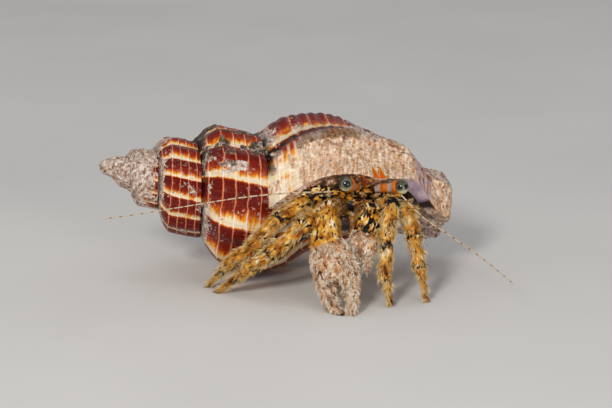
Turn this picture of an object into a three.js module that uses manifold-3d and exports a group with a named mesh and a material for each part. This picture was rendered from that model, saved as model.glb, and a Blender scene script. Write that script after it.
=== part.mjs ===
// A small hairy hermit crab, life size, standing at the mouth of the whelk shell that it carries.
// Millimetres, +Z up. +X runs from the shell's tip towards its canal, and the crab looks along -Y.
// Everything is set out from the shell's tip, and the group then moves so that the origin is on the
// ground under the middle of the whole.
import * as THREE from "three";
import { mergeVertices } from "three/addons/utils/BufferGeometryUtils.js";
import Module from "manifold-3d";

const wasm = await Module();
wasm.setup();

const DEG = Math.PI / 180;
const TURN = 2 * Math.PI;
const GAP = 0.03; // clearance left between pieces that meet
const FINEST = 0.008; // facets smaller than this are merged after a cut

// ---- Driving dimensions -------------------------------------------------------------------

// The shell is a right-handed spiral: each whorl is `growth` times the size of the one before it.
const SHELL = {
  tip: [-13.2, -1.22, 7.32],
  heading: 5.3 * DEG, // the axis turns this far from +X towards +Y
  slope: 13.3 * DEG, // and falls this much towards the canal
  length: 22.6, // along the axis, tip to canal
  growth: 1.53,
  mouthSize: 12.2, // distance of the last suture from the spiral's centre, at the lip
  centreLead: 1.52, // the spiral's centre lies this far before the blunt tip
  crest: 5.72, // radius of a whorl of size crestAt
  crestAt: 11.06,
  crestPower: 0.7,
  youngSize: 2.45, // whorls of about this size taper faster
  sutureDepth: 0.965, // radius of a suture over the crest of the whorl above it
  shoulder: 0.2, // how far from its suture a whorl reaches its crest, in sizes
  lipShoulder: 0.39, // the same close to the lip
  lipAngle: 84 * DEG, // where the last suture meets the lip, from straight up towards -Y
  lipRake: 33 * DEG, // the lip leans back by this much at the canal
  ribHeight: 0.035, // as a share of the radius
  varixHeight: 0.085, // one swollen rib, a former lip
  varixTurn: 0.262, // how far behind the lip it stands, in turns
  wall: 0.55, // thickness of the lip
  floorCut: 0.25, // how far the mouth is cut into the whorl below it
  endRound: 1.3, // length over which the canal's end rounds off
  canalLift: 0.75, // the canal bends up from the axis by this much
  canalBend: [16.2, 20.4], // between these places along the axis
};

// [turns from the lip, ribs counted so far]: the axial ribs stand closer on the young whorls.
const RIB_COUNT = [
  [-5.5, 55], [-3, 26], [-2.111, 14], [-1.894, 11], [-1.149, 3], [-0.883, 0], [-0.04, -7], [0, -7.4],
];

// Radius of the last whorl as a share of its crest, against distance from the spiral's centre as a
// share of its size: at the inner side of the mouth, and at the lip.
const BASE_INNER = [
  [1.25, 1], [1.43, 1], [1.53, 0.98], [1.59, 0.92], [1.66, 0.84], [1.76, 0.62], [1.9, 0.42], [2.09, 0.28],
  [2.5, 0.2], [3, 0.17],
];
const BASE_LIP = [
  [1.25, 1], [1.43, 1.02], [1.53, 0.98], [1.64, 0.955], [1.735, 0.905], [1.84, 0.76], [1.91, 0.64],
  [1.98, 0.6],
];

// Each limb runs through its joints from the body outwards. Every segment has a [width, depth] at
// its start and end, and an arch: how far its middle rises towards the limb's upper side.
const LEG_SEGMENTS = [
  { name: "merus", start: [0.95, 0.9], end: [1.1, 1.0], arch: 0.12 },
  { name: "carpus", start: [0.88, 0.82], end: [1.02, 0.94], arch: 0.1 },
  { name: "propodus", start: [0.84, 0.8], end: [0.8, 0.74], arch: 0.04 },
  { name: "dactyl", start: [0.7, 0.68], end: [0.5, 0.5], arch: 0.14 },
];
const LEG_JOINTS = {
  leg_2_right: [
    [1.3, -4.1, 5.4], [-0.2, -6.75, 4.8], [-2.2, -7.0, 3.05], [-4.0, -6.2, 1.5], [-5.75, -5.2, -0.1],
  ],
  leg_3_right: [
    [0.75, -4.1, 6.2], [-1.6, -5.95, 5.05], [-3.3, -5.8, 3.25], [-4.95, -5.1, 1.75], [-6.35, -3.95, -0.1],
  ],
  leg_2_left: [[4.2, -3.7, 5.1], [5.35, -5.7, 5.85], [5.05, -7.15, 4.3], [4.9, -8.0, 1.8], [5.2, -8.35, -0.1]],
  leg_3_left: [[5.1, -3.4, 4.9], [6.35, -5.1, 5.3], [6.75, -6.3, 3.9], [7.1, -7.0, 2.2], [7.5, -7.4, -0.1]],
};
const CLAW_SEGMENTS = {
  right: [
    { name: "merus", start: [1.3, 1.1], end: [1.6, 1.3], arch: 0.15 },
    { name: "carpus", start: [1.5, 1.2], end: [2.5, 1.7], arch: 0.2 },
    { name: "palm", start: [2.5, 1.6], end: [3.2, 1.7], arch: 0.12 },
  ],
  left: [
    { name: "merus", start: [1.3, 1.1], end: [1.7, 1.3], arch: 0.1 },
    { name: "carpus", start: [1.5, 1.2], end: [2.0, 1.4], arch: 0.12 },
    { name: "palm", start: [1.8, 1.2], end: [2.1, 1.3], arch: 0.08 },
  ],
};
const CLAW_JOINTS = {
  right: [[2.3, -4.0, 5.3], [1.45, -5.8, 5.5], [1.3, -7.9, 3.8], [1.9, -9.0, 2.3]],
  left: [[3.5, -4.2, 5.0], [4.05, -5.7, 5.35], [3.75, -6.6, 4.35], [3.45, -7.0, 3.3]],
};
// The two fingers of each claw: where they end, how far apart their roots and tips are.
const FINGERS = {
  right: {
    tip: [2.5, -10.05, -0.22], root: [1.5, 1.3], end: [0.7, 0.65], rootSpread: 1.5, tipSpread: 0.74, bow: 0.2,
  },
  left: {
    tip: [3.4, -7.35, 2.1], root: [0.9, 0.85], end: [0.5, 0.5], rootSpread: 0.88, tipSpread: 0.54, bow: 0.08,
  },
};

// The middle of the thorax, and the swellings that carry the legs of each side.
const THORAX = [
  { centre: [2.8, -3.0, 5.4], size: [6.0, 3.6, 2.4] },
  { centre: [0.75, -4.35, 6.25], size: [2.5, 1.7, 1.5] },
  { centre: [5.2, -4.2, 5.7], size: [2.2, 1.9, 1.7] },
];
const SHIELD = { centre: [3.2, -3.55, 6.3], size: [3.9, 2.5, 1.1] };
const EYES = {
  right: { stalk: [3.44, -4.08, 6.48], cornea: [2.51, -5.38, 7.13] },
  left: { stalk: [4.33, -4.33, 6.55], cornea: [6.03, -5.08, 6.87] },
};
const STALK_WIDTH = { base: [0.62, 0.6], end: [0.72, 0.7] };
const CORNEA_RADIUS = 0.46;
const ANTENNULES = {
  right: [[3.75, -4.45, 6.15], [3.4, -5.45, 6.6]],
  left: [[4.3, -4.5, 6.1], [4.55, -5.55, 6.5]],
};
const MAXILLIPEDS = {
  right: [[2.95, -4.3, 5.0], [3.0, -5.3, 4.55], [3.05, -5.45, 3.7]],
  left: [[3.9, -4.35, 4.6], [4.3, -5.3, 4.3], [4.35, -5.6, 3.5]],
};
// The feelers are drawn at least this thick. Their first stretch is the stouter base.
const FEELER_WIDTH = 0.5;
const FEELER_BASE_WIDTH = [0.62, 0.56];
const FEELERS = {
  right: [
    [2.9, -4.55, 6.0], [1.6, -5.45, 6.65], [-1.3, -6.2, 6.75], [-4.3, -6.45, 6.5],
    [-7.4, -6.3, 5.95], [-10.5, -6.0, 5.35], [-12.7, -5.7, 4.95],
  ],
  left: [
    [4.75, -4.55, 6.0], [6.0, -5.35, 6.4], [7.3, -6.5, 5.3], [8.9, -7.8, 4.5], [10.9, -9.7, 3.5],
    [12.7, -12.3, 2.6],
  ],
};

const FINISH = {
  shell: [0x8a3a20, 0.42],
  body: [0xb98a6a, 0.6],
  plate: [0x4a3a2c, 0.5],
  limb: [0xcf9a45, 0.55],
  claw: [0xd9b48a, 0.6],
  cornea: [0xb9bd9a, 0.15],
  feeler: [0xd8c9b0, 0.5],
};

// ---- Solids -------------------------------------------------------------------------------

function solidFrom(geometry) {
  const bare = geometry.clone();
  bare.deleteAttribute("normal");
  bare.deleteAttribute("uv");
  const merged = mergeVertices(bare, 1e-4);
  const mesh = new wasm.Mesh({
    numProp: 3,
    vertProperties: new Float32Array(merged.attributes.position.array),
    triVerts: new Uint32Array(merged.index.array),
  });
  const solid = new wasm.Manifold(mesh);
  if (solid.volume() < 0) throw new Error("a solid is inside out");
  return solid;
}

function geometryFrom(solid) {
  const mesh = solid.getMesh();
  const geometry = new THREE.BufferGeometry();
  geometry.setAttribute("position", new THREE.BufferAttribute(new Float32Array(mesh.vertProperties), 3));
  geometry.setIndex(new THREE.BufferAttribute(new Uint32Array(mesh.triVerts), 1));
  geometry.computeVertexNormals();
  return geometry;
}

// The largest body of a cut solid, without the crumbs that a cut can leave.
function largest(solid) {
  return solid.decompose().reduce((a, b) => (b.volume() > a.volume() ? b : a)).asOriginal().simplify(FINEST);
}

const vec = (p) => new THREE.Vector3(...p);
const mix = (a, b, t) => a + (b - a) * t;
const smooth = (a, b, x) => THREE.MathUtils.smoothstep(x, a, b);

// A value read from [position, value] pairs, in straight lines between them.
function along(table, x) {
  if (x <= table[0][0]) return table[0][1];
  for (let i = 1; i < table.length; i++) {
    const [x1, y1] = table[i];
    if (x <= x1) {
      const [x0, y0] = table[i - 1];
      return mix(y0, y1, (x - x0) / (x1 - x0));
    }
  }
  return table[table.length - 1][1];
}

// ---- Shell --------------------------------------------------------------------------------

const shellTurn = new THREE.Euler(0, SHELL.slope, SHELL.heading, "ZYX");
const shellPlace = new THREE.Matrix4().makeRotationFromEuler(shellTurn).setPosition(vec(SHELL.tip));

// Size of the spiral, `turns` before (-) or after (+) the lip.
const sizeAt = (turns) => SHELL.mouthSize * SHELL.growth ** turns;

function crestRadius(size) {
  const young = 1 - Math.exp(-size / SHELL.youngSize);
  return SHELL.crest * (size / SHELL.crestAt) ** SHELL.crestPower * young;
}

// Height of the axial ribs at a place on the spiral, as a share of the radius.
function ribs(turns) {
  const wave = -Math.cos(TURN * along(RIB_COUNT, turns));
  const varix = Math.exp(-(((turns + SHELL.varixTurn) / 0.045) ** 2));
  return SHELL.ribHeight * wave + SHELL.varixHeight * varix;
}

// Radius of the whorl at `turns` from the lip, `w` sizes from the spiral's centre along the axis.
function whorlRadius(turns, w) {
  const size = sizeAt(turns);
  const crest = crestRadius(size);
  const suture = SHELL.sutureDepth * crestRadius(size / SHELL.growth);
  const nextSuture = SHELL.sutureDepth * crest;
  const lipShare = smooth(-0.85, -0.05, turns);
  const rise = mix(SHELL.shoulder, SHELL.lipShoulder, smooth(-1, -0.25, turns));
  const shoulder = Math.sin((Math.PI / 2) * THREE.MathUtils.clamp((w - 1) / rise, 0, 1)) ** 0.8;
  const body = crest * mix(along(BASE_INNER, w), along(BASE_LIP, w), lipShare);
  const rounded = mix(suture, body, shoulder);
  const conical = mix(suture, nextSuture, (w - 1) / (SHELL.growth - 1));
  const plain = mix(conical, rounded, smooth(1, 4.5, size));
  const ribbed = smooth(1, 1.12, w) * (1 - smooth(1.62, 1.95, w)) * smooth(2, 6, size);
  const toEnd = THREE.MathUtils.clamp((SHELL.length + SHELL.centreLead - size * w) / SHELL.endRound, 0, 1);
  const ending = turns > -1 ? mix(0.6, 1, Math.sqrt(toEnd * (2 - toEnd))) : 1;
  return plain * ending * (1 + ribs(turns) * ribbed);
}

// How far the mouth's edge, and the ribs near it, lean back at `w`.
const leanAt = (turns, w) => {
  const share = THREE.MathUtils.clamp((w - 1) / 0.75, 0, 1);
  const back = (1 - (1 - share) ** 5) * (1 - 0.55 * smooth(1.68, 1.92, w));
  return SHELL.lipRake * smooth(-0.6, 0, turns) * back;
};

// A place round the shell's axis, which bends up at the canal.
function roundAxis(x, radius, angle) {
  const lift = SHELL.canalLift * smooth(...SHELL.canalBend, x);
  return new THREE.Vector3(x, -radius * Math.sin(angle), radius * Math.cos(angle) + lift);
}

// A point of the outer surface, or `grow` outside it and past the lip.
function shellPoint(turns, w, grow) {
  const radius = whorlRadius(turns, w) + grow;
  const angle = SHELL.lipAngle + TURN * turns - leanAt(turns, w) + grow / SHELL.crest;
  const x = Math.min(sizeAt(turns) * w - SHELL.centreLead, SHELL.length + grow);
  return roundAxis(x, radius, angle);
}

// The outer surface as one helical strip of columns, closed at the tip, at the canal, and by a wall
// between the lip and the whorl inside it.
function shellBody(grow) {
  const columns = 40; // in each turn
  const rows = 4; // from one suture to the next
  const baseRows = 8; // from the last suture's level down to the canal
  const first = Math.ceil((Math.log(SHELL.centreLead / SHELL.mouthSize) / Math.log(SHELL.growth)) * columns);
  const points = [];
  const index = new Map();
  const faces = [];
  const wOfRow = (row) => 1 + (SHELL.growth - 1) * (row / rows) ** 0.9;

  // Vertex of column c and row r; row `rows` of a column is row 0 of the column one turn on.
  function vertex(c, r) {
    if (r === rows && c + columns <= 0) return vertex(c + columns, 0);
    const key = c * 1000 + r;
    if (!index.has(key)) {
      const turns = c / columns;
      const end = (SHELL.length + grow + SHELL.centreLead) / sizeAt(turns);
      const w = r <= rows ? wOfRow(r) : mix(SHELL.growth, end, (r - rows) / baseRows);
      index.set(key, points.push(shellPoint(turns, w, grow)) - 1);
    }
    return index.get(key);
  }
  const quad = (a, b, c, d) => faces.push(a, c, b, a, d, c);

  for (let c = first; c < 0; c++) {
    const rowsHere = c < -columns ? rows : rows + baseRows;
    for (let r = 0; r < rowsHere; r++) {
      quad(vertex(c, r), vertex(c, r + 1), vertex(c + 1, r + 1), vertex(c + 1, r));
    }
  }
  // The tip.
  const tip = points.push(new THREE.Vector3(-0.12, 0, 0)) - 1;
  for (let c = first; c < first + columns; c++) faces.push(tip, vertex(c + 1, 0), vertex(c, 0));
  for (let r = 0; r < rows; r++) faces.push(tip, vertex(first, r), vertex(first, r + 1));
  // The canal's end.
  const canal = points.push(new THREE.Vector3(SHELL.length + grow, 0, 0)) - 1;
  const last = rows + baseRows;
  for (let c = -columns; c < 0; c++) faces.push(canal, vertex(c, last), vertex(c + 1, last));
  faces.push(canal, vertex(0, last), vertex(-columns, last));
  // The wall at the lip, from the last column to the whorl inside it.
  const inner = [];
  for (let r = rows; r <= last; r++) inner.push(vertex(-columns, r));
  const outer = [];
  for (let r = 0; r <= last; r++) outer.push(vertex(0, r));
  let i = 0;
  for (let o = 1; o <= last; o++) {
    const target = Math.round(((inner.length - 1) * o) / last);
    faces.push(outer[o - 1], inner[i], outer[o]);
    while (i < target) {
      faces.push(outer[o], inner[i], inner[i + 1]);
      i++;
    }
  }
  return meshOf(points, faces);
}

function meshOf(points, faces) {
  const geometry = new THREE.BufferGeometry().setFromPoints(points);
  geometry.setIndex(faces);
  return geometry;
}

// A horn that follows the last whorl from `from` to `to` turns: the hollow, or what fills it.
// `inset` is its distance under the whorl's surface, and `floor` how deep it goes into the whorl
// inside. It takes up a `reach` of the mouth's length, narrows inwards and flares past the lip.
function horn({ from, to, inset, floor, reach = 1, steps = 13, side = 7 }) {
  const narrow = 0.5;
  const ring = 2 * side;
  const points = [];
  const faces = [];
  for (let s = 0; s <= steps; s++) {
    const turns = mix(from, to, s / steps);
    const atLip = Math.min(turns, 0);
    const size = sizeAt(atLip);
    const flare = 7 * Math.max(turns, 0);
    const wTo = (SHELL.length + SHELL.centreLead + (turns > -0.06 ? 1 : -0.2)) / size;
    const section = [];
    for (let k = 0; k < ring; k++) {
      const outside = k < side;
      const t = outside ? k / (side - 1) : (ring - 1 - k) / (side - 1);
      const w = mix(1.1, mix(1.1, wTo, reach), t);
      const below = whorlRadius(atLip - 1, w * SHELL.growth) - floor;
      const above = Math.max(whorlRadius(atLip, w) - inset, below + 0.1) + flare;
      section.push({ x: size * w, radius: outside ? above : below, w });
    }
    const middleX = section.reduce((sum, p) => sum + p.x, 0) / ring;
    const middleRadius = section.reduce((sum, p) => sum + p.radius, 0) / ring;
    const shrink = mix(1, narrow, s / steps);
    for (const p of section) {
      const angle = SHELL.lipAngle + TURN * turns - leanAt(turns, p.w);
      const x = mix(middleX, p.x, shrink) - SHELL.centreLead;
      const radius = mix(middleRadius, p.radius, shrink);
      points.push(roundAxis(x, radius, angle));
    }
  }
  for (let s = 0; s < steps; s++) {
    for (let k = 0; k < ring; k++) {
      const [a, b] = [s * ring + k, s * ring + ((k + 1) % ring)];
      faces.push(a, b, b + ring, a, b + ring, a + ring);
    }
  }
  for (let k = 0; k < side - 1; k++) {
    const [a, b, c, d] = [k, k + 1, ring - 2 - k, ring - 1 - k];
    const end = steps * ring;
    faces.push(a, d, b, b, d, c);
    faces.push(end + a, end + b, end + d, end + b, end + c, end + d);
  }
  return meshOf(points, faces);
}

const placed = (geometry, matrix) => solidFrom(geometry.applyMatrix4(matrix));

const ground = solidFrom(new THREE.BoxGeometry(60, 60, 10).translate(0, 0, -5));

// The shell, or with `grow` the room that it takes up, with that much clearance all round.
function makeShell(grow) {
  const hollow = placed(
    horn({ from: 0.22, to: -0.42, inset: SHELL.wall + grow, floor: SHELL.floorCut - grow }),
    shellPlace,
  );
  return placed(shellBody(grow), shellPlace).subtract(hollow);
}

// ---- Limbs --------------------------------------------------------------------------------

// Axes of a limb segment: along it, towards the limb's outer side, and across.
function axesOf(from, to, outward) {
  const along = to.clone().sub(from).normalize();
  const across = new THREE.Vector3().crossVectors(along, outward).normalize();
  const upper = new THREE.Vector3().crossVectors(across, along);
  return { along, upper, across };
}

// A rounded bar with [width, depth] at each end, arched towards `outward`.
function segment({ from, to, start, end, arch = 0, outward, sides = 7 }, grow) {
  const { along: direction, upper, across } = axesOf(from, to, outward);
  const first = from.clone().addScaledVector(direction, -grow);
  const length = first.distanceTo(to) + grow;
  const rows = 7;
  const round = Math.min(0.45, (0.4 * (start[1] + end[1])) / length / 2 + 0.1);
  const profile = [];
  for (let i = 0; i <= rows; i++) {
    const y = 0.5 - 0.5 * Math.cos((Math.PI * i) / rows);
    const ending = THREE.MathUtils.clamp(Math.min(y, 1 - y) / round, 0, 1);
    profile.push(new THREE.Vector2(i % rows ? Math.sqrt(ending * (2 - ending)) : 0, y));
  }
  const geometry = new THREE.LatheGeometry(profile, sides);
  const points = geometry.attributes.position;
  for (let i = 0; i < points.count; i++) {
    const [x, y, z] = [points.getX(i), points.getY(i), points.getZ(i)];
    const wide = mix(start[0], end[0], y) / 2 + grow;
    const deep = mix(start[1], end[1], y) / 2 + grow;
    const place = first.clone().addScaledVector(direction, length * y);
    place.addScaledVector(across, x * wide);
    place.addScaledVector(upper, z * deep + 4 * arch * y * (1 - y));
    points.setXYZ(i, place.x, place.y, place.z);
  }
  return solidFrom(geometry);
}

// The direction from the line between a limb's ends towards its knee.
const kneeSide = (joints) => joints[1].clone().add(joints[2]).sub(joints[0]).sub(joints.at(-1)).normalize();

// One segment of a limb, lengthened into its neighbours so that the joints are full.
function limbSegment(joints, index, sizes, grow, lapEnd = 0.3) {
  const [from, to] = [joints[index].clone(), joints[index + 1].clone()];
  const direction = to.clone().sub(from).normalize();
  from.addScaledVector(direction, index ? -0.3 * sizes.start[1] : 0);
  to.addScaledVector(direction, lapEnd * sizes.end[1]);
  return segment({ from, to, ...sizes, outward: kneeSide(joints) }, grow);
}

function makeFinger(side, hand, grow) {
  const joints = CLAW_JOINTS[side].map(vec);
  const { tip, root, end, rootSpread, tipSpread, bow } = FINGERS[side];
  const { across } = axesOf(joints[2], joints[3], kneeSide(joints));
  const apart = across.clone().multiplyScalar(hand);
  const from = joints[3].clone().addScaledVector(apart, rootSpread / 2);
  const to = vec(tip).addScaledVector(apart, tipSpread / 2);
  from.addScaledVector(to.clone().sub(from).normalize(), -0.3 * root[1]);
  return segment({ from, to, start: root, end, arch: bow, outward: apart }, grow);
}

function ball(centre, size, grow, columns = 12, rows = 8) {
  const geometry = new THREE.SphereGeometry(0.5, columns, rows);
  geometry.rotateX(Math.PI / 2);
  geometry.scale(size[0] + 2 * grow, size[1] + 2 * grow, size[2] + 2 * grow);
  return solidFrom(geometry.translate(...centre));
}

function feeler(points, width, grow) {
  const curve = new THREE.CatmullRomCurve3(points.map(vec));
  const section = new THREE.Shape();
  section.absarc(0, 0, width / 2 + grow, 0, TURN, false);
  const steps = 9;
  return solidFrom(
    new THREE.ExtrudeGeometry(section, { extrudePath: curve, steps, curveSegments: 3, bevelEnabled: false }),
  );
}

// ---- The pieces ---------------------------------------------------------------------------

// Every piece is [name, finish, make], where make(grow) gives its solid, or the room it takes up.
// An earlier piece keeps its whole shape, and the later ones are cut to fit round it.
const pieces = [["shell", "shell", makeShell]];

for (const side of ["right", "left"]) {
  const { stalk, cornea } = EYES[side];
  const size = [2 * CORNEA_RADIUS, 2 * CORNEA_RADIUS, 2 * CORNEA_RADIUS];
  pieces.push([`cornea_${side}`, "cornea", (grow) => ball(cornea, size, grow)]);
  const stem = { from: vec(stalk), to: vec(cornea), start: STALK_WIDTH.base, end: STALK_WIDTH.end };
  pieces.push([`eyestalk_${side}`, "limb", (grow) => segment({ ...stem, outward: vec([0, 0, 1]) }, grow)]);
}

for (const side of ["right", "left"]) {
  const joints = CLAW_JOINTS[side].map(vec);
  const [inner, outer] = side === "right" ? [1, -1] : [-1, 1];
  pieces.push([`claw_${side}_finger`, "claw", (grow) => makeFinger(side, inner, grow)]);
  for (const index of [2, 1, 0]) {
    const { name, ...sizes } = CLAW_SEGMENTS[side][index];
    const make = (grow) => limbSegment(joints, index, sizes, grow);
    const withThumb = (grow) => make(grow).add(makeFinger(side, outer, grow));
    pieces.push([`claw_${side}_${name}`, "claw", name === "palm" ? withThumb : make]);
  }
}

for (const [leg, places] of Object.entries(LEG_JOINTS)) {
  const joints = places.map(vec);
  for (const index of [3, 2, 1, 0]) {
    const { name, ...sizes } = LEG_SEGMENTS[index];
    const lap = index < 3 ? 0.3 : 0;
    pieces.push([`${leg}_${name}`, "limb", (grow) => limbSegment(joints, index, sizes, grow, lap)]);
  }
}

for (const side of ["right", "left"]) {
  const [from, knee, ...rest] = FEELERS[side];
  const [start, end] = FEELER_BASE_WIDTH.map((size) => [size, size]);
  const base = { from: vec(from), to: vec(knee), start, end, outward: vec([0, 0, 1]), sides: 6 };
  pieces.push([`antenna_base_${side}`, "limb", (grow) => segment(base, grow)]);
  pieces.push([`antenna_${side}`, "feeler", (grow) => feeler([knee, ...rest], FEELER_WIDTH, grow)]);
  const [low, high] = ANTENNULES[side].map(vec);
  const small = { from: low, to: high, start: [0.5, 0.5], end: [0.5, 0.5], outward: vec([0, 0, 1]) };
  pieces.push([`antennule_${side}`, "feeler", (grow) => segment({ ...small, sides: 6 }, grow)]);
  const jaw = MAXILLIPEDS[side].map(vec);
  const bar = { start: [0.62, 0.6], end: [0.62, 0.6], outward: vec([0, -1, 0]), sides: 6 };
  const makeJaw = (grow) =>
    segment({ ...bar, from: jaw[0], to: jaw[1] }, grow).add(
      segment({ ...bar, from: jaw[1].clone().lerp(jaw[0], 0.2), to: jaw[2] }, grow),
    );
  pieces.push([`maxilliped_${side}`, "limb", makeJaw]);
}

pieces.push(["shield", "plate", (grow) => ball(SHIELD.centre, SHIELD.size, grow)]);
const makeThorax = (grow) =>
  THORAX.map(({ centre, size }) => ball(centre, size, grow, 8, 6)).reduce((all, lump) => all.add(lump));
pieces.push(["thorax", "body", makeThorax]);
const inside = { from: -0.05, to: -0.38, inset: SHELL.wall + 0.12, floor: SHELL.floorCut - 0.12 };
const makeAbdomen = () => placed(horn({ ...inside, reach: 0.66, steps: 8, side: 5 }), shellPlace);
pieces.push(["abdomen", "body", makeAbdomen]);

const crab = new THREE.Group();
const taken = [];
for (const [name, finish, make] of pieces) {
  const solid = taken.reduce((left, room) => left.subtract(room), make(0).subtract(ground));
  taken.push(make(GAP));
  const [color, roughness] = FINISH[finish];
  const material = new THREE.MeshStandardMaterial({ color, roughness });
  const mesh = new THREE.Mesh(geometryFrom(largest(solid)), material);
  mesh.name = name;
  crab.add(mesh);
}

const box = new THREE.Box3().setFromObject(crab);
crab.position.set(-(box.min.x + box.max.x) / 2, -(box.min.y + box.max.y) / 2, -box.min.z);
export default crab;
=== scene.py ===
# A small hairy hermit crab at the mouth of the whelk shell that it carries: the fine form and the
# finish of every piece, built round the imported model. Shapes are worked out in millimetres, in the
# same axes as the solids, and turned into metres when a mesh is made.
import math

import bpy
import numpy as np
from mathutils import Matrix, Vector
from mathutils.kdtree import KDTree


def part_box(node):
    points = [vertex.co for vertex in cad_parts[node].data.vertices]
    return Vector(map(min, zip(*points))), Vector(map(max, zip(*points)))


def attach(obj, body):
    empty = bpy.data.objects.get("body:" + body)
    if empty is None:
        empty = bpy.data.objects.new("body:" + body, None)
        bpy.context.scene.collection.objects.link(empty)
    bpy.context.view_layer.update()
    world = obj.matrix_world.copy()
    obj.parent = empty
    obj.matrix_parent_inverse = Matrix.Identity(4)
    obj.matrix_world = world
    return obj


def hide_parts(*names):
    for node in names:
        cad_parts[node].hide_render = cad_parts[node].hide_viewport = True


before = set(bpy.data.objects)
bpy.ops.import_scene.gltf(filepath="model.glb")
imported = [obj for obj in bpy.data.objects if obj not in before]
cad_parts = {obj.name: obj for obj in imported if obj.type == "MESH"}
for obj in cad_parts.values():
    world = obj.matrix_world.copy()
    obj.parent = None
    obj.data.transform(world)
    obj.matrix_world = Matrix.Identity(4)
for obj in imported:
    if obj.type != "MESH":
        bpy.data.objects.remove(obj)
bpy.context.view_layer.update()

MM = 0.001
TURN = 2 * math.pi
rng = np.random.default_rng(11)

# ---- Places shared with the solids ---------------------------------------------------------

SHELL_TIP = (-13.2, -1.22, 7.32)
SHELL_HEADING, SHELL_SLOPE = math.radians(5.3), math.radians(13.3)
SHELL_LENGTH = 22.6
GROWTH = 1.53
MOUTH_SIZE = 12.2
CENTRE_LEAD = 1.52
CREST, CREST_AT, CREST_POWER = 5.72, 11.06, 0.7
YOUNG_SIZE = 2.45
SUTURE_DEPTH = 0.965
SHOULDER, LIP_SHOULDER = 0.2, 0.39
LIP_ANGLE, LIP_RAKE = math.radians(84), math.radians(33)
RIB_HEIGHT, VARIX_HEIGHT, VARIX_TURN = 0.035, 0.085, 0.262
WALL, FLOOR_CUT = 0.55, 0.25
NUCLEUS_RADIUS = 0.46
CANAL_LIFT, CANAL_BEND = 0.75, (16.2, 20.4)
END_ROUND = 1.3
CORD_START, CORD_STEP = 1.045, 0.105
RIB_COUNT = [
    (-5.5, 55), (-3, 26), (-2.111, 14), (-1.894, 11), (-1.149, 3), (-0.883, 0), (-0.04, -7), (0, -7.4),
]
BASE_INNER = [
    (1.25, 1), (1.43, 1), (1.53, 0.98), (1.59, 0.92), (1.66, 0.84), (1.76, 0.62), (1.9, 0.42), (2.09, 0.28),
    (2.5, 0.2), (3, 0.17),
]
BASE_LIP = [
    (1.25, 1), (1.43, 1.02), (1.53, 0.98), (1.64, 0.955), (1.735, 0.905), (1.84, 0.76), (1.91, 0.64),
    (1.98, 0.6),
]
LEG_JOINTS = {
    "leg_2_right": [
        (1.3, -4.1, 5.4), (-0.2, -6.75, 4.8), (-2.2, -7, 3.05), (-4, -6.2, 1.5), (-5.75, -5.2, -0.1),
    ],
    "leg_3_right": [
        (0.75, -4.1, 6.2), (-1.6, -5.95, 5.05), (-3.3, -5.8, 3.25), (-4.95, -5.1, 1.75), (-6.35, -3.95, -0.1),
    ],
    "leg_2_left": [
        (4.2, -3.7, 5.1), (5.35, -5.7, 5.85), (5.05, -7.15, 4.3), (4.9, -8, 1.8), (5.2, -8.35, -0.1),
    ],
    "leg_3_left": [(5.1, -3.4, 4.9), (6.35, -5.1, 5.3), (6.75, -6.3, 3.9), (7.1, -7, 2.2), (7.5, -7.4, -0.1)],
}
# Each segment's name, its width and depth at its start and at its end, and its arch.
LEG_SEGMENTS = [
    ("merus", (0.95, 0.9), (1.1, 1.0), 0.12),
    ("carpus", (0.88, 0.82), (1.02, 0.94), 0.1),
    ("propodus", (0.84, 0.8), (0.8, 0.74), 0.04),
    ("dactyl", (0.7, 0.68), (0.5, 0.5), 0.14),
]
CLAW_JOINTS = {
    "right": [(2.3, -4, 5.3), (1.45, -5.8, 5.5), (1.3, -7.9, 3.8), (1.9, -9, 2.3)],
    "left": [(3.5, -4.2, 5), (4.05, -5.7, 5.35), (3.75, -6.6, 4.35), (3.45, -7, 3.3)],
}
CLAW_SEGMENTS = {
    "right": [
        ("merus", (1.3, 1.1), (1.6, 1.3), 0.15),
        ("carpus", (1.5, 1.2), (2.5, 1.7), 0.2),
        ("palm", (2.5, 1.6), (3.2, 1.7), 0.12),
    ],
    "left": [
        ("merus", (1.3, 1.1), (1.7, 1.3), 0.1),
        ("carpus", (1.5, 1.2), (2.0, 1.4), 0.12),
        ("palm", (1.8, 1.2), (2.1, 1.3), 0.08),
    ],
}
# The middle of the two tips, the width and depth of a finger's root and of its end, how far apart
# the roots and the tips are, and the outward bow.
FINGERS = {
    "right": ((2.5, -10.05, -0.22), (1.5, 1.3), (0.7, 0.65), 1.5, 0.74, 0.2),
    "left": ((3.4, -7.35, 2.1), (0.9, 0.85), (0.5, 0.5), 0.88, 0.54, 0.08),
}
# The shield's centre and size, then each eye's root and centre.
SHIELD = ((3.2, -3.55, 6.3), (3.9, 2.5, 1.1))
EYES = {
    "right": ((3.44, -4.08, 6.48), (2.51, -5.38, 7.13)),
    "left": ((4.33, -4.33, 6.55), (6.03, -5.08, 6.87)),
}
CORNEA_RADIUS = 0.46
ANTENNULES = {
    "right": [(3.75, -4.45, 6.15), (3.4, -5.45, 6.6)],
    "left": [(4.3, -4.5, 6.1), (4.55, -5.55, 6.5)],
}
MAXILLIPEDS = {
    "right": [(2.95, -4.3, 5), (3, -5.3, 4.55), (3.05, -5.45, 3.7)],
    "left": [(3.9, -4.35, 4.6), (4.3, -5.3, 4.3), (4.35, -5.6, 3.5)],
}
FEELERS = {
    "right": [
        (2.9, -4.55, 6.0), (1.6, -5.45, 6.65), (-1.3, -6.2, 6.75), (-4.3, -6.45, 6.5), (-7.4, -6.3, 5.95),
        (-10.5, -6, 5.35), (-12.7, -5.7, 4.95),
    ],
    "left": [
        (4.75, -4.55, 6.0), (6, -5.35, 6.4), (7.3, -6.5, 5.3), (8.9, -7.8, 4.5), (10.9, -9.7, 3.5),
        (12.7, -12.3, 2.6),
    ],
}
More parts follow.
